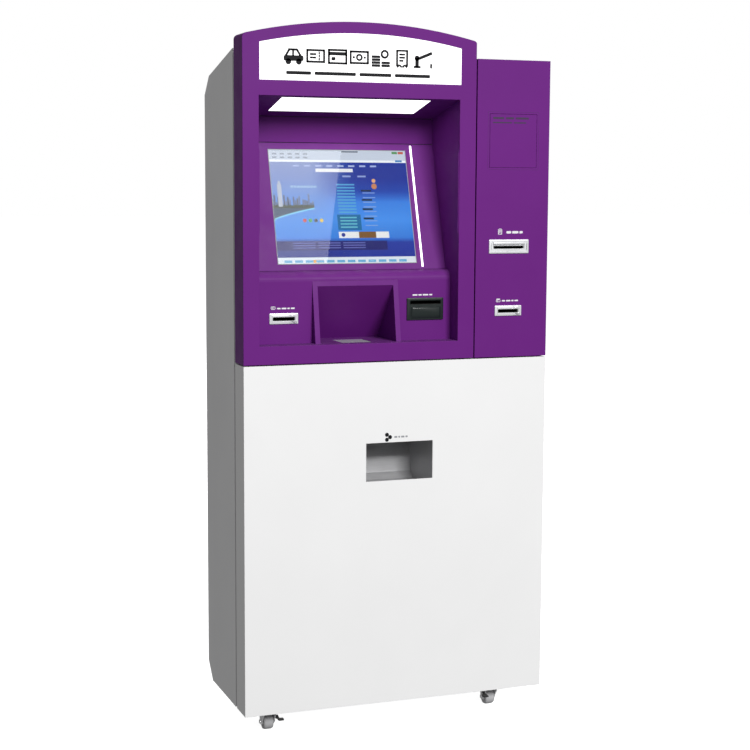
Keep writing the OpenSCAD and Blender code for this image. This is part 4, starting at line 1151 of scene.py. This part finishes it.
def makeSeals(look):
    bm = bmesh.new()
    for (left, right), (low, high) in look["runs"]:
        middle = ((left + right) / 2 - 400, (low + high) / 2 + 55)
        outer, inner = (right - left, high - low), (right - left - 2 * look["width"],
                                                    high - low - 2 * look["width"])
        ringPlate(bm, [(*middle, *outer, 3, 0), (*middle, *outer, 3, look["thick"] - 1),
                       (*middle, outer[0] - 2.4, outer[1] - 2.4, 3, look["thick"]),
                       (*middle, inner[0] + 2.4, inner[1] + 2.4, 3, look["thick"]),
                       (*middle, *inner, 3, look["thick"] - 1), (*middle, *inner, 3, 0)], 4)
    place = faceOf("front_frame", "front")
    place.translation = Vector((0, (83 - 177.5) * mm, 0))
    finishPiece("door_seals", bm, "cabinet", "black_plastic", extraMaterials["foam"], place, sharp=50)


makeSeals(seals)

# x, y, z in the cabinet's millimetres: behind the joints over and under the bay's back; black foam strips, their
# black also painted shade that keeps these joint lines dark
jointStrips = [((41, 554), (182.4, 184.6), (1452, 1482)), ((41, 554), (182.4, 184.6), (1396, 1416))]


def makeJointStrips(strips):
    bm = bmesh.new()
    for x, y, z in strips:
        bar(bm, (x[0] - 400, x[1] - 400), (y[0] - 177.5, y[1] - 177.5), (z[0] + 55, z[1] + 55))
    finishPiece("joint_strips_painted_shade", bm, "head_door", "black_plastic", extraMaterials["foam"],
                Matrix.Identity(4))


makeJointStrips(jointStrips)

lampRows = {"columns": 16, "rows": 2, "size": 5, "proud": 0.9, "base": 0.3}


def makeLamps(look):
    width, height = sizeOf("sign_backlight", "front")
    boards, lamps = bmesh.new(), bmesh.new()
    depth = -14
    for row in range(look["rows"]):
        middle = height * (row + 1) / (look["rows"] + 1)
        bar(boards, (14, width - 14), (middle - 6, middle + 6), (depth, depth + 1.2))
        for column in range(look["columns"]):
            x = 26 + column * (width - 52) / (look["columns"] - 1)
            bar(lamps, (x - 2.5, x + 2.5), (middle - 2.5, middle + 2.5), (depth + 1.15, depth + 2.3), 0.5, 2)
    place = faceOf("sign_backlight", "front")
    finishPiece("lamp_boards", boards, "head_door", "led_tray", extraMaterials["whiteInk"], place)
    finishPiece("lamps", lamps, "head_door", "led_tray", extraMaterials["ledGlow"], place)


makeLamps(lampRows)
print("seals and lamps made")


# ---- small marks on locks and rear ----

keySlots = [("head_lock", "right"), ("lower_lock", "right"), ("column_lock", "top")]


def makeKeySlots(slots):
    for node, side in slots:
        width, height = sizeOf(node, side)
        low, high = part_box(node)
        bm = bmesh.new()
        # the lock's face is a disc of radius 9 at one end of its box
        middle = (9, height / 2) if side == "right" else (width / 2, 9)
        # the keyway is a black bar, painted shade where the slot would be; the black ring is the joint round the plug
        slantBar(bm, *middle, (-0.4, 0.03), 7.5, 1.3, 90)
        hoop(bm, *middle, (-0.3, 0.03), 5.4, 0.5)
        finishPiece(node + "_key_slot", bm, bodyOf[node], slotOf[node], extraMaterials["blackInk"],
                    faceOf(node, side))


makeKeySlots(keySlots)

ratingPlate = {"x": 560, "y": 1120, "width": 90, "height": 60,
               "words": [(8, 46, 5, (30, 18)), (8, 36, 3, (24, 36)), (8, 28, 3, (40, 14)), (8, 20, 3, (20, 30)),
                         (8, 12, 3, (34, 22))]}


def makeRatingPlate(look):
    place = faceOf("rear_panel", "rear") @ Matrix.Translation((look["x"] * mm, look["y"] * mm, 0))
    place.translation.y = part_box("panel_screws")[1].y
    plate, ink = bmesh.new(), bmesh.new()
    bar(plate, (0, look["width"]), (0, look["height"]), (-0.2, 0.02), 3)
    finishPiece("rating_plate", plate, "cabinet", "silver_bezel", place=place)
    for x, y, tall, widths in look["words"]:
        drawWords(ink, x, y, tall, widths, 4)
    finishPiece("rating_plate_bars", ink, "cabinet", "silver_bezel", extraMaterials["blackInk"],
                place @ Matrix.Translation((0, 0, -0.08 * mm)))


makeRatingPlate(ratingPlate)
print("locks and plates made")


# ---- ports, labels, boards and fins on the devices ----

# node, side, material, body parts (x, y, width, height, low, high, rounding) in millimetres
deviceDetails = [
    ("control_pc", "top", "board", [(30, 20, 180, 40, 0, 1.2, 1)]),
    ("control_pc", "front", "blackInk", [(16, 240, 26, 14, -0.4, 0.6, 1), (48, 240, 26, 14, -0.4, 0.6, 1),
                                         (80, 240, 16, 14, -0.4, 0.6, 1), (102, 240, 16, 14, -0.4, 0.6, 1),
                                         (128, 238, 44, 18, -0.4, 0.6, 2)]),
    ("control_pc", "front", "greyInk", [(20, 24, 90, 46, -0.2, 0.25, 2)]),
    ("control_pc", "front", "blackInk", [(26, 58, 50, 4, 0.2, 0.4, 0), (26, 50, 72, 3, 0.2, 0.4, 0),
                                         (26, 43, 64, 3, 0.2, 0.4, 0), (26, 36, 70, 3, 0.2, 0.4, 0)]),
    ("control_pc", "front", "greenGlow", [(200, 250, 3, 3, -0.2, 0.5, 0.8), (208, 250, 3, 3, -0.2, 0.5, 0.8)]),
    ("power_supply", "front", "board", [(12, 8, 116, 16, -0.2, 1.2, 0.6)]),
    ("power_supply", "front", "blackInk", [(16 + 12 * i, 9, 9, 14, 1.1, 2.6, 0.5) for i in range(9)]),
    ("power_supply", "front", "greyInk", [(20, 50, 70, 50, -0.2, 0.25, 2)]),
    ("power_supply", "front", "blackInk", [(26, 90 - 8 * i, 40 + (i * 17) % 20, 3, 0.2, 0.4, 0)
                                           for i in range(5)]),
    ("coin_hopper", "front", "blackInk", [(20, 20, 44, 26, -0.2, 0.9, 2)]),
    ("note_acceptor", "left", "greyInk", [(24, 40, 56, 40, -0.2, 0.25, 2)]),
    ("note_acceptor", "left", "blackInk", [(30, 70 - 7 * i, 24 + (i * 13) % 18, 2.6, 0.2, 0.4, 0)
                                           for i in range(4)]),
    ("note_acceptor", "rear", "board", [(14, 60, 64, 34, -0.2, 1.4, 0.8)]),
    ("ticket_card_reader", "top", "board", [(8, 18, 54, 92, -0.2, 1.3, 1)]),
    ("ticket_card_reader", "top", "blackInk", [(14, 28, 16, 16, 1.2, 2.6, 0.6), (36, 60, 20, 12, 1.2, 3.2, 0.6),
                                               (14, 82, 40, 8, 1.2, 4.6, 0.8)]),
    ("bank_card_reader", "top", "board", [(8, 18, 54, 92, -0.2, 1.3, 1)]),
    ("bank_card_reader", "top", "blackInk", [(14, 28, 16, 16, 1.2, 2.6, 0.6), (36, 60, 20, 12, 1.2, 3.2, 0.6),
                                             (14, 82, 40, 8, 1.2, 4.6, 0.8)]),
    ("receipt_printer", "left", "greyInk", [(30, 16, 60, 34, -0.2, 0.25, 2)]),
    ("receipt_printer", "left", "blackInk", [(36, 42 - 7 * i, 26 + (i * 11) % 20, 2.4, 0.2, 0.4, 0)
                                             for i in range(4)]),
]


def makeDeviceDetails(details):
    counts = {}
    for node, side, material, parts in details:
        bm = bmesh.new()
        for x, y, width, height, low, high, rounding in parts:
            bar(bm, (x, x + width), (y, y + height), (low, high), rounding)
        counts[node] = counts.get(node, 0) + 1
        finishPiece(f"{node}_detail_{counts[node]}", bm, bodyOf[node], slotOf[node],
                    extraMaterials[material], faceOf(node, side))


makeDeviceDetails(deviceDetails)
print("device details made")
